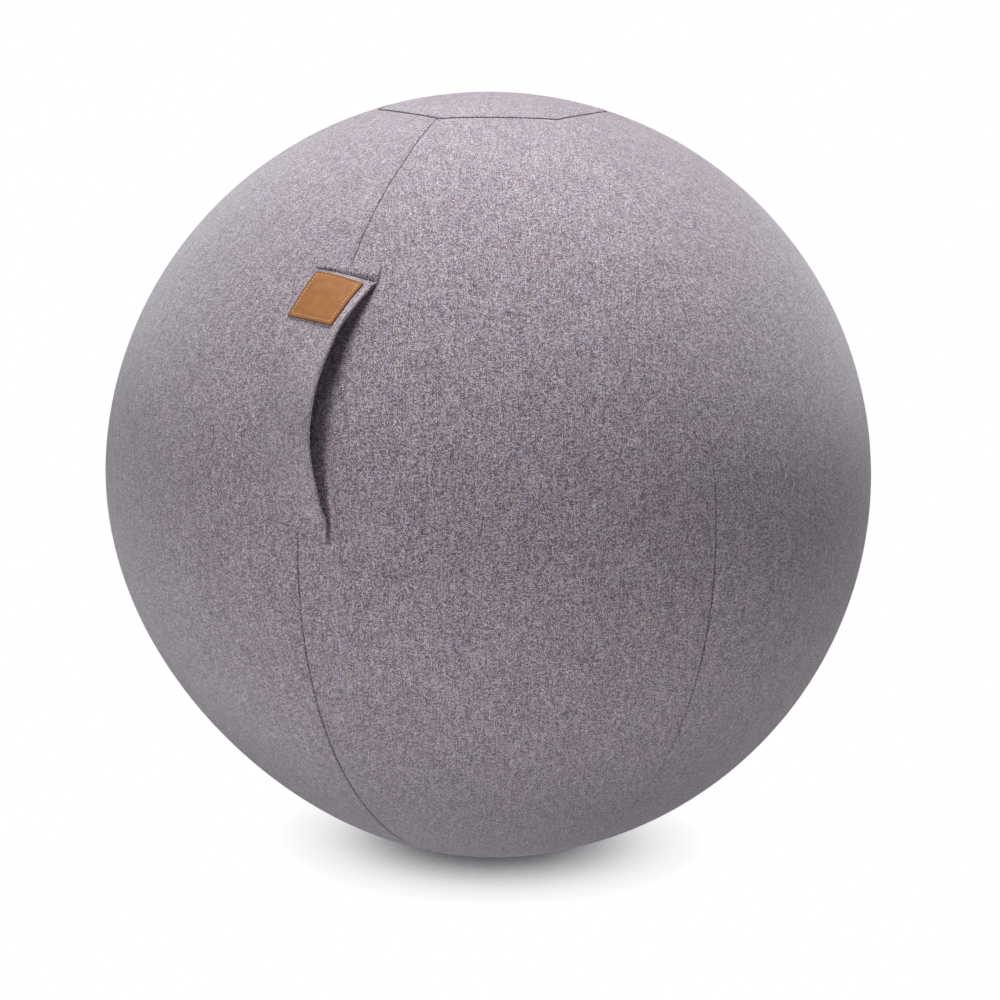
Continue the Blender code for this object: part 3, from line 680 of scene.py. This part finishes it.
def strapPoint(across, along, height):
    # Across the strap to the right, along it, and above the middle of its thickness
    across, along, height = np.broadcast_arrays(across, along, height)

    def middleAt(at):
        return valuesAt(at, strapAlong, strapPoints)

    ahead = unit(middleAt(along + strap["bend"]) - middleAt(along - strap["bend"]))
    level = unit(toRight - ahead * ahead[..., :1])
    outwards = np.cross(ahead, level)
    turn = pi * np.clip(along / strapFree, 0, 1)
    lean = (strap["lean"] * np.sin(turn) - strap["lowerLean"] * np.sin(2 * turn))[..., None]
    sideways = level * np.cos(lean) + outwards * np.sin(lean)
    normal = outwards * np.cos(lean) - level * np.sin(lean)
    middle = middleAt(along)
    # The sewn ends lie round the ball
    hug = strap["hugLength"]
    lifted = smoothStep(along, 0, hug) * (1 - smoothStep(along, strapFree - hug, strapFree))
    height = height - (1 - lifted) * (across + middle[..., 0]) ** 2 / (2 * radius)
    # The right-hand corners stand up a little, so that a slit shows under them
    half = strap["width"] / 2
    atRight = smoothStep(across, half - strap["cornerReach"], half)
    sewn = strap["topCrease"] + across * tan(strap["topCreaseSkew"])
    nearTop = smoothStep(sewn - along, 0, strap["tab"] / 2)
    nearBottom = 1 - smoothStep(strapFree - along, 0, strap["bottomCornerReach"])
    height = height + (strap["topCornerLift"] * nearTop + strap["bottomCornerLift"] * nearBottom) * atRight
    return centre + middle + sideways * across[..., None] + normal * height[..., None]


def strapProfile():
    # The outline of its section: each side shows the fold of both plies, with a notch between them
    half, thick, fold = strap["width"] / 2, strap["thickness"] / 2, strap["fold"]
    span = np.linspace(-half + strap["foldEnd"], half - strap["foldEnd"], strap["columns"])
    topSide = [(-half + inset, share * thick) for inset, share in fold]
    topSide += [(x, thick + strap["crown"] * cos(pi * x / strap["width"])) for x in span]
    topSide += [(half - inset, share * thick) for inset, share in fold[::-1]]
    bottomSide = [(half - inset, -share * thick) for inset, share in fold[1:]]
    bottomSide += [(x, -thick) for x in span[::-2]]
    bottomSide += [(-half + inset, -share * thick) for inset, share in fold[:0:-1]]
    return np.array(topSide + bottomSide)


def followStrap(piece):
    # Bakes the piece's placement into its points. Where the strap would give way with the grip is worked out,
    # but nothing uses it
    axis = np.array(strap["liftAxis"])
    start, end = (tuple(centre + axis * strap[key]) for key in ("bendFrom", "bendTo"))
    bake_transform(piece)
    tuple(start)
    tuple(end)


def makeStrap():
    profile = strapProfile()
    across, height = profile[None, :, 0], profile[None, :, 1]
    start, end = -strap["tab"], strapFree + strap["tab"]
    crease, reach, step = strap["topCrease"], strap["fineReach"], strap["step"]
    fine = np.arange(crease - reach, crease + reach, strap["fineStep"])
    above, below = np.arange(start, fine[0], step)[1:], np.arange(fine[-1], end, step)[1:-1]
    rounds, thinned = np.array(strap["endRound"])
    along = np.concatenate((start + rounds, above, fine, below, end - rounds[::-1]))[:, None]
    # The turned-in ends are rounded, and each is pressed down along its row of stitches
    thin = np.interp(np.minimum(along - start, end - along), rounds, thinned)
    slant = np.clip((along - strapFree) / strap["tab"], 0, 1) * tan(strap["skew"])
    toTop = along - crease - across * tan(strap["topCreaseSkew"])
    toHem = end - strap["hemInset"] - along
    pressed = strap["topCreaseDepth"] * np.exp(-((toTop / strap["creaseWidth"]) ** 2))
    pressed = pressed + strap["hemDepth"] * np.exp(-((toHem / strap["creaseWidth"]) ** 2))
    pressed = pressed - strap["topFold"] * (1 - smoothStep(toTop, -strap["foldRun"], 0))
    upper = np.maximum(height, 0) / (strap["thickness"] / 2)
    points = strapPoint(across, along + across * slant, height * thin - pressed * upper)
    girth = lengthAlong(np.concatenate((profile, profile[:1])))
    flat = np.stack(np.broadcast_arrays(girth[None, :], along + strap["clothStart"]), -1)
    band = gridPiece("strap_band", points, flat, melangeCloth, closed=True, caps=(0, -1))
    followStrap(band)
    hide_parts("strap_top_tab", "strap_upper_leg", "strap_grip", "strap_lower_leg", "strap_bottom_tab")


tabStitch = {
    "pitch": 0.0030, "length": 0.0023, "width": 0.0006, "inset": 0.003, "rise": 0.0001, "step": 0.0005,
}


def makeTabStitches():
    half = strap["width"] / 2 - tabStitch["inset"]
    across = np.arange(-half, half, tabStitch["pitch"])
    face = strap["thickness"] / 2 + strap["crown"] + tabStitch["rise"]
    hemSlant = tan(strap["skew"]) * (1 - strap["hemInset"] / strap["tab"])
    rows = []
    for start, slant, depth in (
        (strap["topCrease"], tan(strap["topCreaseSkew"]), strap["topCreaseDepth"]),
        (strapFree + strap["tab"] - strap["hemInset"], hemSlant, strap["hemDepth"]),
    ):
        place = across, start + across * slant, face - depth
        right, _, outwards = slopes(strapPoint, *place, tabStitch["step"])
        rows.append((strapPoint(*place), right, outwards))
    followStrap(stitchPiece("strap_tab_stitches", rows, tabStitch, strapThread))


makeStrap()
makeTabStitches()
print("strap made")

# Leather patch on the strap's upper leg, smooth inside its stitched border.
# The cut edge is how far its outermost rows run down to the strap.

patch = {
    "side": 0.0475, "thickness": 0.0016, "start": 0.0043, "edge": 0.0032, "skew": radians(6),
    "strapGap": 0.0001, "cells": 44, "cutEdge": (1, 0.6, 0.22),
    "rim": (0.00015, 0.0005, 0.0012, 0.0022, 0.0031, 0.0040), "rimEnd": 0.0052,
    "pillow": 0.00025, "borderInset": 0.0031, "grooveDepth": 0.0003, "grooveWidth": 0.0009,
}
borderStitch = {"pitch": 0.0033, "length": 0.0020, "width": 0.00075, "rise": 0.00012, "step": 0.0004}

# Smooth vegetable-tanned leather: fine pores about 0.9 mm apart, slow changes of tone over about 8 mm,
# and rims darkened by burnishing
patchLeather = tanLeather("vegetable_tanned_leather", {
    "pore": 1 / 1100, "cloud": 1 / 120, "detail": 5.0,
    "tones": [(0.25, "885831"), (0.5, "926138"), (0.75, "9b6a3f")],
    "rim": 0.0022, "rimShade": 0.62, "gloss": (0.5, 0.62), "bump": 0.35, "relief": 0.00012,
    "shader": {"IOR": 1.5, "Specular IOR Level": 0.25},
}, patch["side"])


def patchPoint(x, y, height):
    # x runs across the patch from its left edge, y down it, and height is above the strap's face
    left = -strap["width"] / 2 + patch["edge"]
    slant = tan(patch["skew"])
    start = patch["start"] - (left + patch["side"] / 2) * slant
    face = strap["thickness"] / 2 + strap["crown"] + patch["strapGap"]
    return strapPoint(left + x, start + (left + x) * slant + y, face + height)


def patchSurface(x, y):
    side = patch["side"]
    nearest = np.minimum(np.minimum(x, side - x), np.minimum(y, side - y))
    groove = patch["grooveDepth"] * np.exp(-(((nearest - patch["borderInset"]) / patch["grooveWidth"]) ** 2))
    pillow = patch["pillow"] * np.sin(pi * np.clip(x / side, 0, 1)) * np.sin(pi * np.clip(y / side, 0, 1))
    return patch["thickness"] - groove + pillow


def makePatch():
    side, cut, rim = patch["side"], np.array(patch["cutEdge"]), np.array(patch["rim"])
    inner = np.linspace(patch["rimEnd"], side - patch["rimEnd"], patch["cells"])
    steps = np.concatenate((0 * cut, rim, inner, side - rim[::-1], side + 0 * cut))
    drop = np.concatenate((cut, np.zeros(len(steps) - 2 * len(cut)), cut[::-1]))
    x, y = np.meshgrid(steps, steps)
    height = patchSurface(x, y) * (1 - np.maximum(drop[None, :], drop[:, None]))
    face = gridPiece("leather_patch_face", patchPoint(x, y, height), np.stack((x, y), -1), patchLeather)
    followStrap(face)
    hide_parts("leather_patch")


def makePatchStitches():
    inset = patch["borderInset"]
    run = patch["side"] - 2 * inset
    count = round(run / borderStitch["pitch"])
    along = inset + (np.arange(count) + 0.5) * run / count
    near, far = np.full(count, inset), np.full(count, patch["side"] - inset)
    x = np.concatenate((along, far, along, near))
    y = np.concatenate((near, along, far, along))
    level = np.repeat((1, 0, 1, 0), count)[:, None]
    place = x, y, patchSurface(x, y) + borderStitch["rise"]
    right, down, outwards = slopes(patchPoint, *place, borderStitch["step"])
    row = patchPoint(*place), level * right + (1 - level) * down, outwards
    followStrap(stitchPiece("patch_border_stitches", [row], borderStitch, borderThread))


makePatch()
makePatchStitches()
print("patch made")

# Backing patches inside the cover, behind the strap's sewn ends

backing = {"inset": 0.0028, "margin": 0.012, "rows": 14, "columns": 24}


def makeBacking(node, upper, lower):
    margin = backing["margin"] / radius
    half = strap["width"] / 2 + backing["margin"]
    polar = np.linspace(upper - margin, lower + margin, backing["rows"])[:, None]
    x = np.linspace(-half, half, backing["columns"])[None, :]
    points = coverPoint(turnTo(x, polar), polar + 0 * x, backing["inset"])
    flat = np.stack(np.broadcast_arrays(x, radius * polar), -1)
    cloth = gridPiece(f"{node}_cloth", points, flat, liningCloth)
    standFor(cloth, node)


tabAngle = strap["tab"] / radius
makeBacking("strap_backing_top", strap["topPolar"] - tabAngle, strap["topPolar"])
makeBacking("strap_backing_bottom", strap["bottomPolar"], strap["bottomPolar"] + tabAngle)

# Zip: tapes, wound coils, slider and pull


def zipPoint(x, polar, inset):
    # A point this far to the side of the back seam
    return coverPoint(pi - turnTo(x, polar), polar + 0 * x, inset)


def makeTape(name, side):
    tail, wide = zipLook["tail"] / radius, zipLook["tapeWidth"]
    polar = np.linspace(zipTop - tail, zipBottom + tail, zipLook["tapeRows"])[:, None]
    across = np.linspace(0, wide, zipLook["tapeColumns"])[None, :]
    # A woven bead runs along the tape's outer edge
    toBead = (across - wide + zipLook["beadEdge"]) / zipLook["beadWidth"]
    inset = zipLook["tapeInset"] - zipLook["beadHeight"] * np.exp(-(toBead**2))
    points = zipPoint(side * (zipLook["tapeInner"] + across), polar, inset)
    flat = np.stack(np.broadcast_arrays(across, radius * polar), -1)
    tape = gridPiece(f"{name}_cloth", points, flat, zipTapeCloth, flip=side > 0)
    standFor(tape, name)


def makeCoil(name, side):
    # One nylon monofilament wound flat, whose loops reach past the seam between those of the other side
    room, pitch = zipLook["stopRoom"] / radius, zipLook["coilPitch"] / radius
    turns = int((zipBottom - zipTop - 2 * room) / pitch) - 1
    perTurn, sides = zipLook["coilSteps"], zipLook["coilSides"]
    phase = np.arange(turns * perTurn + 1) * 2 * pi / perTurn
    polar = zipTop + room + pitch * (phase / (2 * pi) + (0.5 if side > 0 else 0))
    middle, inset = zipLook["coilMiddle"], zipLook["coilInset"]
    reach, rise = zipLook["coilReach"] * np.cos(phase), zipLook["coilRise"] * np.sin(phase)
    line = zipPoint(side * (middle - reach), polar, inset - rise)
    out = unit(line - zipPoint(side * middle, polar, inset))
    third = np.cross(unit(np.gradient(line, axis=0)), out)
    angle = (np.arange(sides) * 2 * pi / sides)[None, :, None]
    ring = np.cos(angle) * out[:, None] + np.sin(angle) * third[:, None]
    points = line[:, None] + zipLook["coilWire"] / 2 * ring
    flat = np.zeros((len(line), sides + 1, 2))
    coil = gridPiece(f"{name}_winding", points, flat, zipNylon, closed=True, caps=(0, -1), flip=True)
    standFor(coil, name)


for sideName, sideSign in (("right", 1), ("left", -1)):
    makeTape(f"zip_tape_{sideName}", sideSign)
    makeCoil(f"zip_coil_{sideName}", sideSign)

zipStitch = {"pitch": 0.0036, "length": 0.0028, "width": 0.0006, "back": 0.0045, "step": 0.001}


def makeZipStitches():
    # The row that holds each folded edge of the cover to its tape
    polar = np.arange(zipTop, zipBottom, zipStitch["pitch"] / radius)
    step = zipStitch["step"]
    rows = []
    for side in (1, -1):
        x = side * (zipLook["channel"] + zipStitch["back"])
        place = zipPoint(x, polar, 0)
        rows.append((place, zipPoint(x, polar + step, 0) - zipPoint(x, polar - step, 0), place - centre))
    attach(stitchPiece("zip_edge_stitches", rows, zipStitch, strapThread), "ball")


makeZipStitches()

# Slider: a plate with a notched nose, two walls below it and a bridge for the pull.
# Heights are above the cover's face, and half widths from the seam's middle.

slider = {
    "length": 0.013, "frontHalf": 0.00505, "rearHalf": 0.0043, "waist": 0.001, "waistIn": 0.0002,
    "cheekIn": 0.0014, "cheekDown": 0.0016, "notchHalf": 0.0010, "notchDown": 0.0012,
    "floor": -0.0025, "roof": -0.0001, "plateTop": 0.0015, "plateRound": 0.0007, "plateBevel": 0.00035,
    "wallInner": 0.0035, "wallStart": 0.0022, "wallEnd": 0.0004, "wallSunk": 0.0006,
    "wallRound": 0.00025, "wallBevel": 0.0002,
    "bridgeWidth": 0.0024, "bridgeHalf": 0.0032, "bridgeRise": 0.0027, "bridgeBar": 0.0011,
    "bridgeSunk": 0.0003, "bridgeSteps": 18, "bridgeSquareness": 0.55, "bridgeRound": 0.45,
    "bridgeCornerSteps": 3, "stopLength": 0.004, "stopGap": 0.0003,
}
sliderPolar = zipTop + (slider["stopLength"] + 2 * slider["stopGap"] + slider["length"] / 2) / radius
# Local Z points out of the ball and Y down the seam, from the ball's centre
sliderPlace = Matrix.Translation(Vector(centre)) @ Matrix.Rotation(-sliderPolar, 4, "X")


def atHeight(height):
    return sliderPlace @ Matrix.Translation((0, 0, radius + height))


def roundedOutline(corners, size, steps=5):
    # A polygon with its corners rounded by quadratic curves
    outline = []
    count = len(corners)
    for i in range(count):
        before, corner, after = (Vector(corners[(i + k) % count]) for k in (-1, 0, 1))
        first = corner + (before - corner).normalized() * size
        last = corner + (after - corner).normalized() * size
        for step in range(steps + 1):
            t = step / steps
            outline.append(tuple((1 - t) ** 2 * first + 2 * (1 - t) * t * corner + t**2 * last))
    return outline


def mirrored(rightSide):
    return rightSide + [(-x, y) for x, y in rightSide[::-1]]


def makePlate():
    half, front = slider["length"] / 2, slider["frontHalf"]
    outline = mirrored([
        (slider["notchHalf"], slider["notchDown"] - half),
        (front - slider["cheekIn"], -half),
        (front, slider["cheekDown"] - half),
        (front - slider["waistIn"], slider["waist"]),
        (slider["rearHalf"], half),
    ])
    loops = [roundedOutline(outline, slider["plateRound"])]
    top, bottom = slider["plateTop"], slider["roof"]
    place = atHeight((top + bottom) / 2)
    return platePiece("zip_slider_plate", loops, top - bottom, slider["plateBevel"], place, zipMetal)


def makeWall(name, side):
    half, front, inner = slider["length"] / 2, slider["frontHalf"], slider["wallInner"]
    start, end = slider["wallStart"] - half, half - slider["wallEnd"]
    outline = [(front, start), (front - slider["waistIn"], slider["waist"]), (slider["rearHalf"], end)]
    outline = [(side * x, y) for x, y in outline + [(inner, end), (inner, start)]]
    if side < 0:
        outline.reverse()
    loops = [roundedOutline(outline, slider["wallRound"])]
    top, bottom = slider["roof"] + slider["wallSunk"], slider["floor"]
    place = atHeight((top + bottom) / 2)
    return platePiece(name, loops, top - bottom, slider["wallBevel"], place, zipMetal)


def makeBridge():
    # A squarish arch over the plate, a superellipse from foot to foot, that carries the pull
    steps, power, sunk = slider["bridgeSteps"], slider["bridgeSquareness"], slider["bridgeSunk"]
    turn = np.linspace(0, pi, steps)
    y = -slider["bridgeHalf"] * np.sign(np.cos(turn)) * np.abs(np.cos(turn)) ** power
    z = radius + slider["plateTop"] - sunk + (slider["bridgeRise"] + sunk) * np.sin(turn) ** power
    line = np.stack((np.zeros(steps), y, z), -1)
    out = np.cross(toRight, unit(np.gradient(line, axis=0)))
    square = [(-1, -1), (1, -1), (1, 1), (-1, 1)]
    section = np.array(roundedOutline(square, slider["bridgeRound"], slider["bridgeCornerSteps"]))
    across = section[None, :, :1] * slider["bridgeWidth"] / 2
    up = section[None, :, 1:] * slider["bridgeBar"] / 2
    turned = np.array(sliderPlace)
    points = (line[:, None] + across * toRight + up * out[:, None]) @ turned[:3, :3].T + turned[:3, 3]
    flat = np.zeros((steps, len(section) + 1, 2))
    return gridPiece("zip_slider_bridge", points, flat, zipMetal, closed=True, caps=(0, -1), flip=True)


def makeSlider():
    plate = makePlate()
    walls = [makeWall(f"zip_slider_wall_{name}", side) for name, side in (("left", -1), ("right", 1))]
    for piece in (plate, *walls, makeBridge()):
        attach(piece, "slider")
    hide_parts("zip_slider")


# Pull: a flat tab that hangs down the seam from the bar at its head, which lies under the bridge.
# The eye is the opening round the bridge, and the hole the one near its tip.

pull = {
    "length": 0.026, "thickness": 0.0012, "bevel": 0.0003, "round": 0.0011, "rise": 0.0011,
    "headHalf": 0.00375, "headEnd": 0.0085, "neckHalf": 0.0030, "neckEnd": 0.0125, "tipHalf": 0.0036,
    "eyeHalf": 0.0018, "eyeLength": 0.0068, "eyeRound": 0.0008,
    "holeHalf": 0.0016, "holeLength": 0.0068, "holeFromTip": 0.0019, "holeRound": 0.0014,
}


def makePull():
    bar = pull["thickness"] / 2
    end = pull["length"] - bar
    outline = mirrored([
        (pull["headHalf"], -bar),
        (pull["headHalf"], pull["headEnd"]),
        (pull["neckHalf"], pull["neckEnd"]),
        (pull["tipHalf"], end),
    ])
    loops = [roundedOutline(outline, pull["round"])]
    holeEnd = end - pull["holeFromTip"]
    for opening, top in (("eye", bar), ("hole", holeEnd - pull["holeLength"])):
        half, bottom = pull[opening + "Half"], top + pull[opening + "Length"]
        corners = [(-half, top), (half, top), (half, bottom), (-half, bottom)]
        loops.append(roundedOutline(corners, pull[opening + "Round"]))
    place = atHeight(slider["plateTop"] + pull["rise"])
    tab = platePiece("zip_pull_tab", loops, pull["thickness"], pull["bevel"], place, zipMetal)
    standFor(tab, "zip_pull", "pull")


makeSlider()
makePull()
print("zip made")

# Inner ball: a vinyl skin with raised grip rings about its valve.
# The valve is in the middle of one of the CAD ball's facets, counted round and down.

innerBall = {
    "inset": 0.0039, "holeRadius": 0.0113, "rows": 90, "columns": 96, "lastAngle": pi - 0.02,
    "facets": (36, 26), "valveFacet": (1.5, 14.5),
    "rings": 9, "firstRing": 0.30 * pi, "lastRing": 0.70 * pi,
    "ringHeight": 0.0008, "ringWidth": 0.0022, "ringRows": 5,
}


def makeInnerBall():
    facetsRound, facetsDown = innerBall["facets"]
    valveColumn, valveRow = innerBall["valveFacet"]
    axis = Vector(directionAt(pi - valveColumn * 2 * pi / facetsRound, valveRow * pi / facetsDown))
    turn = np.array(axis.to_track_quat("Z", "Y").to_matrix())
    inside, columns, wide = radius - innerBall["inset"], innerBall["columns"], innerBall["ringWidth"]
    ringAngles = np.linspace(innerBall["firstRing"], innerBall["lastRing"], innerBall["rings"])
    base = np.linspace(innerBall["holeRadius"] / inside, innerBall["lastAngle"], innerBall["rows"])
    fine = ringAngles[:, None] + np.linspace(-1, 1, innerBall["ringRows"])[None, :] * wide / inside
    angle = np.sort(np.concatenate((base, fine.ravel())))[:, None]
    azimuth = np.arange(columns + 1)[None, :] * 2 * pi / columns
    local = directionAt(azimuth, angle) @ turn.T
    toRing = np.min(np.abs(angle - ringAngles[None, :]), axis=1)[:, None] * inside / wide
    # The rings' tops keep the inset, and the skin between them lies that much deeper
    inset = innerBall["inset"] + innerBall["ringHeight"] * (1 - np.clip(1 - toRing**2, 0, 1)) + 0 * azimuth
    ballAzimuth = np.arctan2(local[..., 0], -local[..., 1])
    ballPolar = np.arccos(np.clip(local[..., 2], -1, 1))
    points = coverPoint(ballAzimuth, ballPolar, inset)[:, :-1]
    flat = inside * np.stack(np.broadcast_arrays(azimuth, angle), -1)
    skin = gridPiece("inner_ball_skin", points, flat, softVinyl, closed=True, caps=(-1,))
    standFor(skin, "inner_ball")


makeInnerBall()

# CAD nodes whose shape is right keep it, with eased rims
easedRim = {"segments": 2, "sharpAngle": radians(40)}
for nodeName, nodeMaterial, rim in (
    ("zip_top_stop", zipMetal, 0.0004),
    ("zip_bottom_stop", zipMetal, 0.0004),
    ("valve_seat", valvePlastic, 0.0003),
    ("valve_plug", plugPlastic, 0.0003),
):
    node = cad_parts[nodeName]
    node.data.materials.clear()
    node.data.materials.append(nodeMaterial)
    eased = node.modifiers.new("eased_rims", "BEVEL")
    eased.width = rim
    eased.segments = easedRim["segments"]
    eased.limit_method = "ANGLE"
    eased.angle_limit = easedRim["sharpAngle"]
print("inner ball and fittings made")

# Floor, light and camera. The painted shadow's tones run from where the ball touches the floor out to open
# floor.

stageLook = {
    "floorHalf": 40.0, "floorColour": "f2f2f2", "contactReach": 0.050, "shadowSamples": 16, "ambient": 0.05,
    "shadow": [
        (0.0, "3a3a3c"), (0.05, "646467"), (0.12, "a2a2a5"), (0.23, "c8c8ca"),
        (0.38, "e3e3e4"), (0.6, "f3f3f4"), (0.85, "fafafa"), (1.0, "ffffff"),
    ],
}

# A softbox above the ball, one behind it on the right, a panel in front on the left, and a faint lit panel on
# the floor under the ball, as a shooting table has. Power is in watts. Each place is in metres to the right,
# towards the camera and up from the ball's centre.
lampLook = {
    "overhead_softbox": {"place": (0.1, 0.1, 1.8), "size": 0.6, "power": 35.5},
    "back_softbox": {"place": (0.8, -0.8, 1.6), "size": 0.8, "power": 13.5},
    "front_panel": {"place": (-0.75, 1.55, 0.45), "size": 0.4, "power": 9.6},
    "table_panel": {"place": (0, 0, -0.3212), "size": 0.5, "power": 0.18},
}


def directlySeen(tree):
    # 1 for what is seen by the camera, mirrored or through something, and 0 for what only lights the ball
    seen = addNode(tree, "LightPath").outputs
    direct = addNode(tree, "Math", [seen["Is Camera Ray"], seen["Is Glossy Ray"]], operation="MAXIMUM")
    return addNode(tree, "Math", [direct, seen["Is Transmission Ray"]], operation="MAXIMUM")


def makeFloor():
    # Matt white paint, which the camera sees as pure white with the ball's contact shadow painted in from
    # ambient occlusion
    material, tree = startMaterial("matt_white_floor")
    tree.nodes.clear()
    matt = addNode(tree, "BsdfDiffuse", {"Color": linearColour(stageLook["floorColour"])})
    reach = {"Distance": stageLook["contactReach"]}
    near = addNode(tree, "AmbientOcclusion", reach, samples=stageLook["shadowSamples"])
    shadow = addNode(tree, "ValToRGB", [near.outputs["AO"]], stageLook["shadow"])
    white = addNode(tree, "Emission", {"Color": shadow, "Strength": 1.0})
    both = addNode(tree, "MixShader", [directlySeen(tree), matt, white])
    addNode(tree, "OutputMaterial", [both])
    half = stageLook["floorHalf"]
    corners = [(-half, -half, 0), (half, -half, 0), (half, half, 0), (-half, half, 0)]
    makeMesh("floor", corners, [(0, 1, 2, 3)], material)


def makeWorld():
    world = bpy.data.worlds.new("white_studio")
    bpy.context.scene.world = world
    world.use_nodes = True
    tree = world.node_tree
    tree.nodes.clear()
    white = linearColour("ffffff")
    dim = addNode(tree, "Background", {"Color": white, "Strength": stageLook["ambient"]})
    bright = addNode(tree, "Background", {"Color": white, "Strength": 1.0})
    both = addNode(tree, "MixShader", [directlySeen(tree), dim, bright])
    addNode(tree, "OutputWorld", [both])


def makeLamp(name, look, right, towardsCamera):
    across, ahead, up = look["place"]
    fromBall = right * across + towardsCamera * ahead + Vector((0, 0, up))
    lamp = bpy.data.lights.new(name, "AREA")
    lamp.shape = "DISK"
    lamp.size = look["size"]
    lamp.energy = look["power"]
    holder = addObject(name, lamp)
    holder.location = Vector(centre) + fromBall
    holder.rotation_mode = "QUATERNION"
    holder.rotation_quaternion = fromBall.to_track_quat("Z", "Y")


# The pixels are where the ball's centre and the middle of the picture lie in the photograph's frame
cameraLook = {
    "distance": 2.925, "azimuth": radians(26.8), "elevation": radians(10.6), "roll": radians(0.72),
    "lens": 123.3, "sensor": 36.0, "focalPixels": 3425.7,
    "ballPixel": (488.3, 475.0), "middlePixel": (500.0, 500.0),
}


def makeCamera():
    azimuth, elevation, roll = cameraLook["azimuth"], cameraLook["elevation"], cameraLook["roll"]
    level = Vector((cos(azimuth), sin(azimuth), 0))
    back = Vector((sin(azimuth) * cos(elevation), -cos(azimuth) * cos(elevation), sin(elevation)))
    upright = back.cross(level)
    right = level * cos(roll) + upright * sin(roll)
    up = back.cross(right)
    place = Vector(centre) + back * cameraLook["distance"]
    # Aimed a little off the ball's centre, as the photograph is framed
    pixels = zip(cameraLook["middlePixel"], cameraLook["ballPixel"])
    offX, offY = ((middle - seen) / cameraLook["focalPixels"] for middle, seen in pixels)
    back = (back - right * offX + up * offY).normalized()
    right = (right - back * right.dot(back)).normalized()
    up = back.cross(right)
    data = bpy.data.cameras.new("camera")
    data.sensor_width = cameraLook["sensor"]
    data.lens = cameraLook["lens"]
    camera = addObject("camera", data)
    camera.matrix_world = Matrix((
        (right.x, up.x, back.x, place.x),
        (right.y, up.y, back.y, place.y),
        (right.z, up.z, back.z, place.z),
        (0, 0, 0, 1),
    ))
    bpy.context.scene.camera = camera
    return level


makeFloor()
makeWorld()
cameraRight = makeCamera()
towardsCamera = Vector((sin(cameraLook["azimuth"]), -cos(cameraLook["azimuth"]), 0))
for lampName, look in lampLook.items():
    makeLamp(lampName, look, cameraRight, towardsCamera)
bpy.context.scene.view_settings.view_transform = "Standard"
print("stage made")
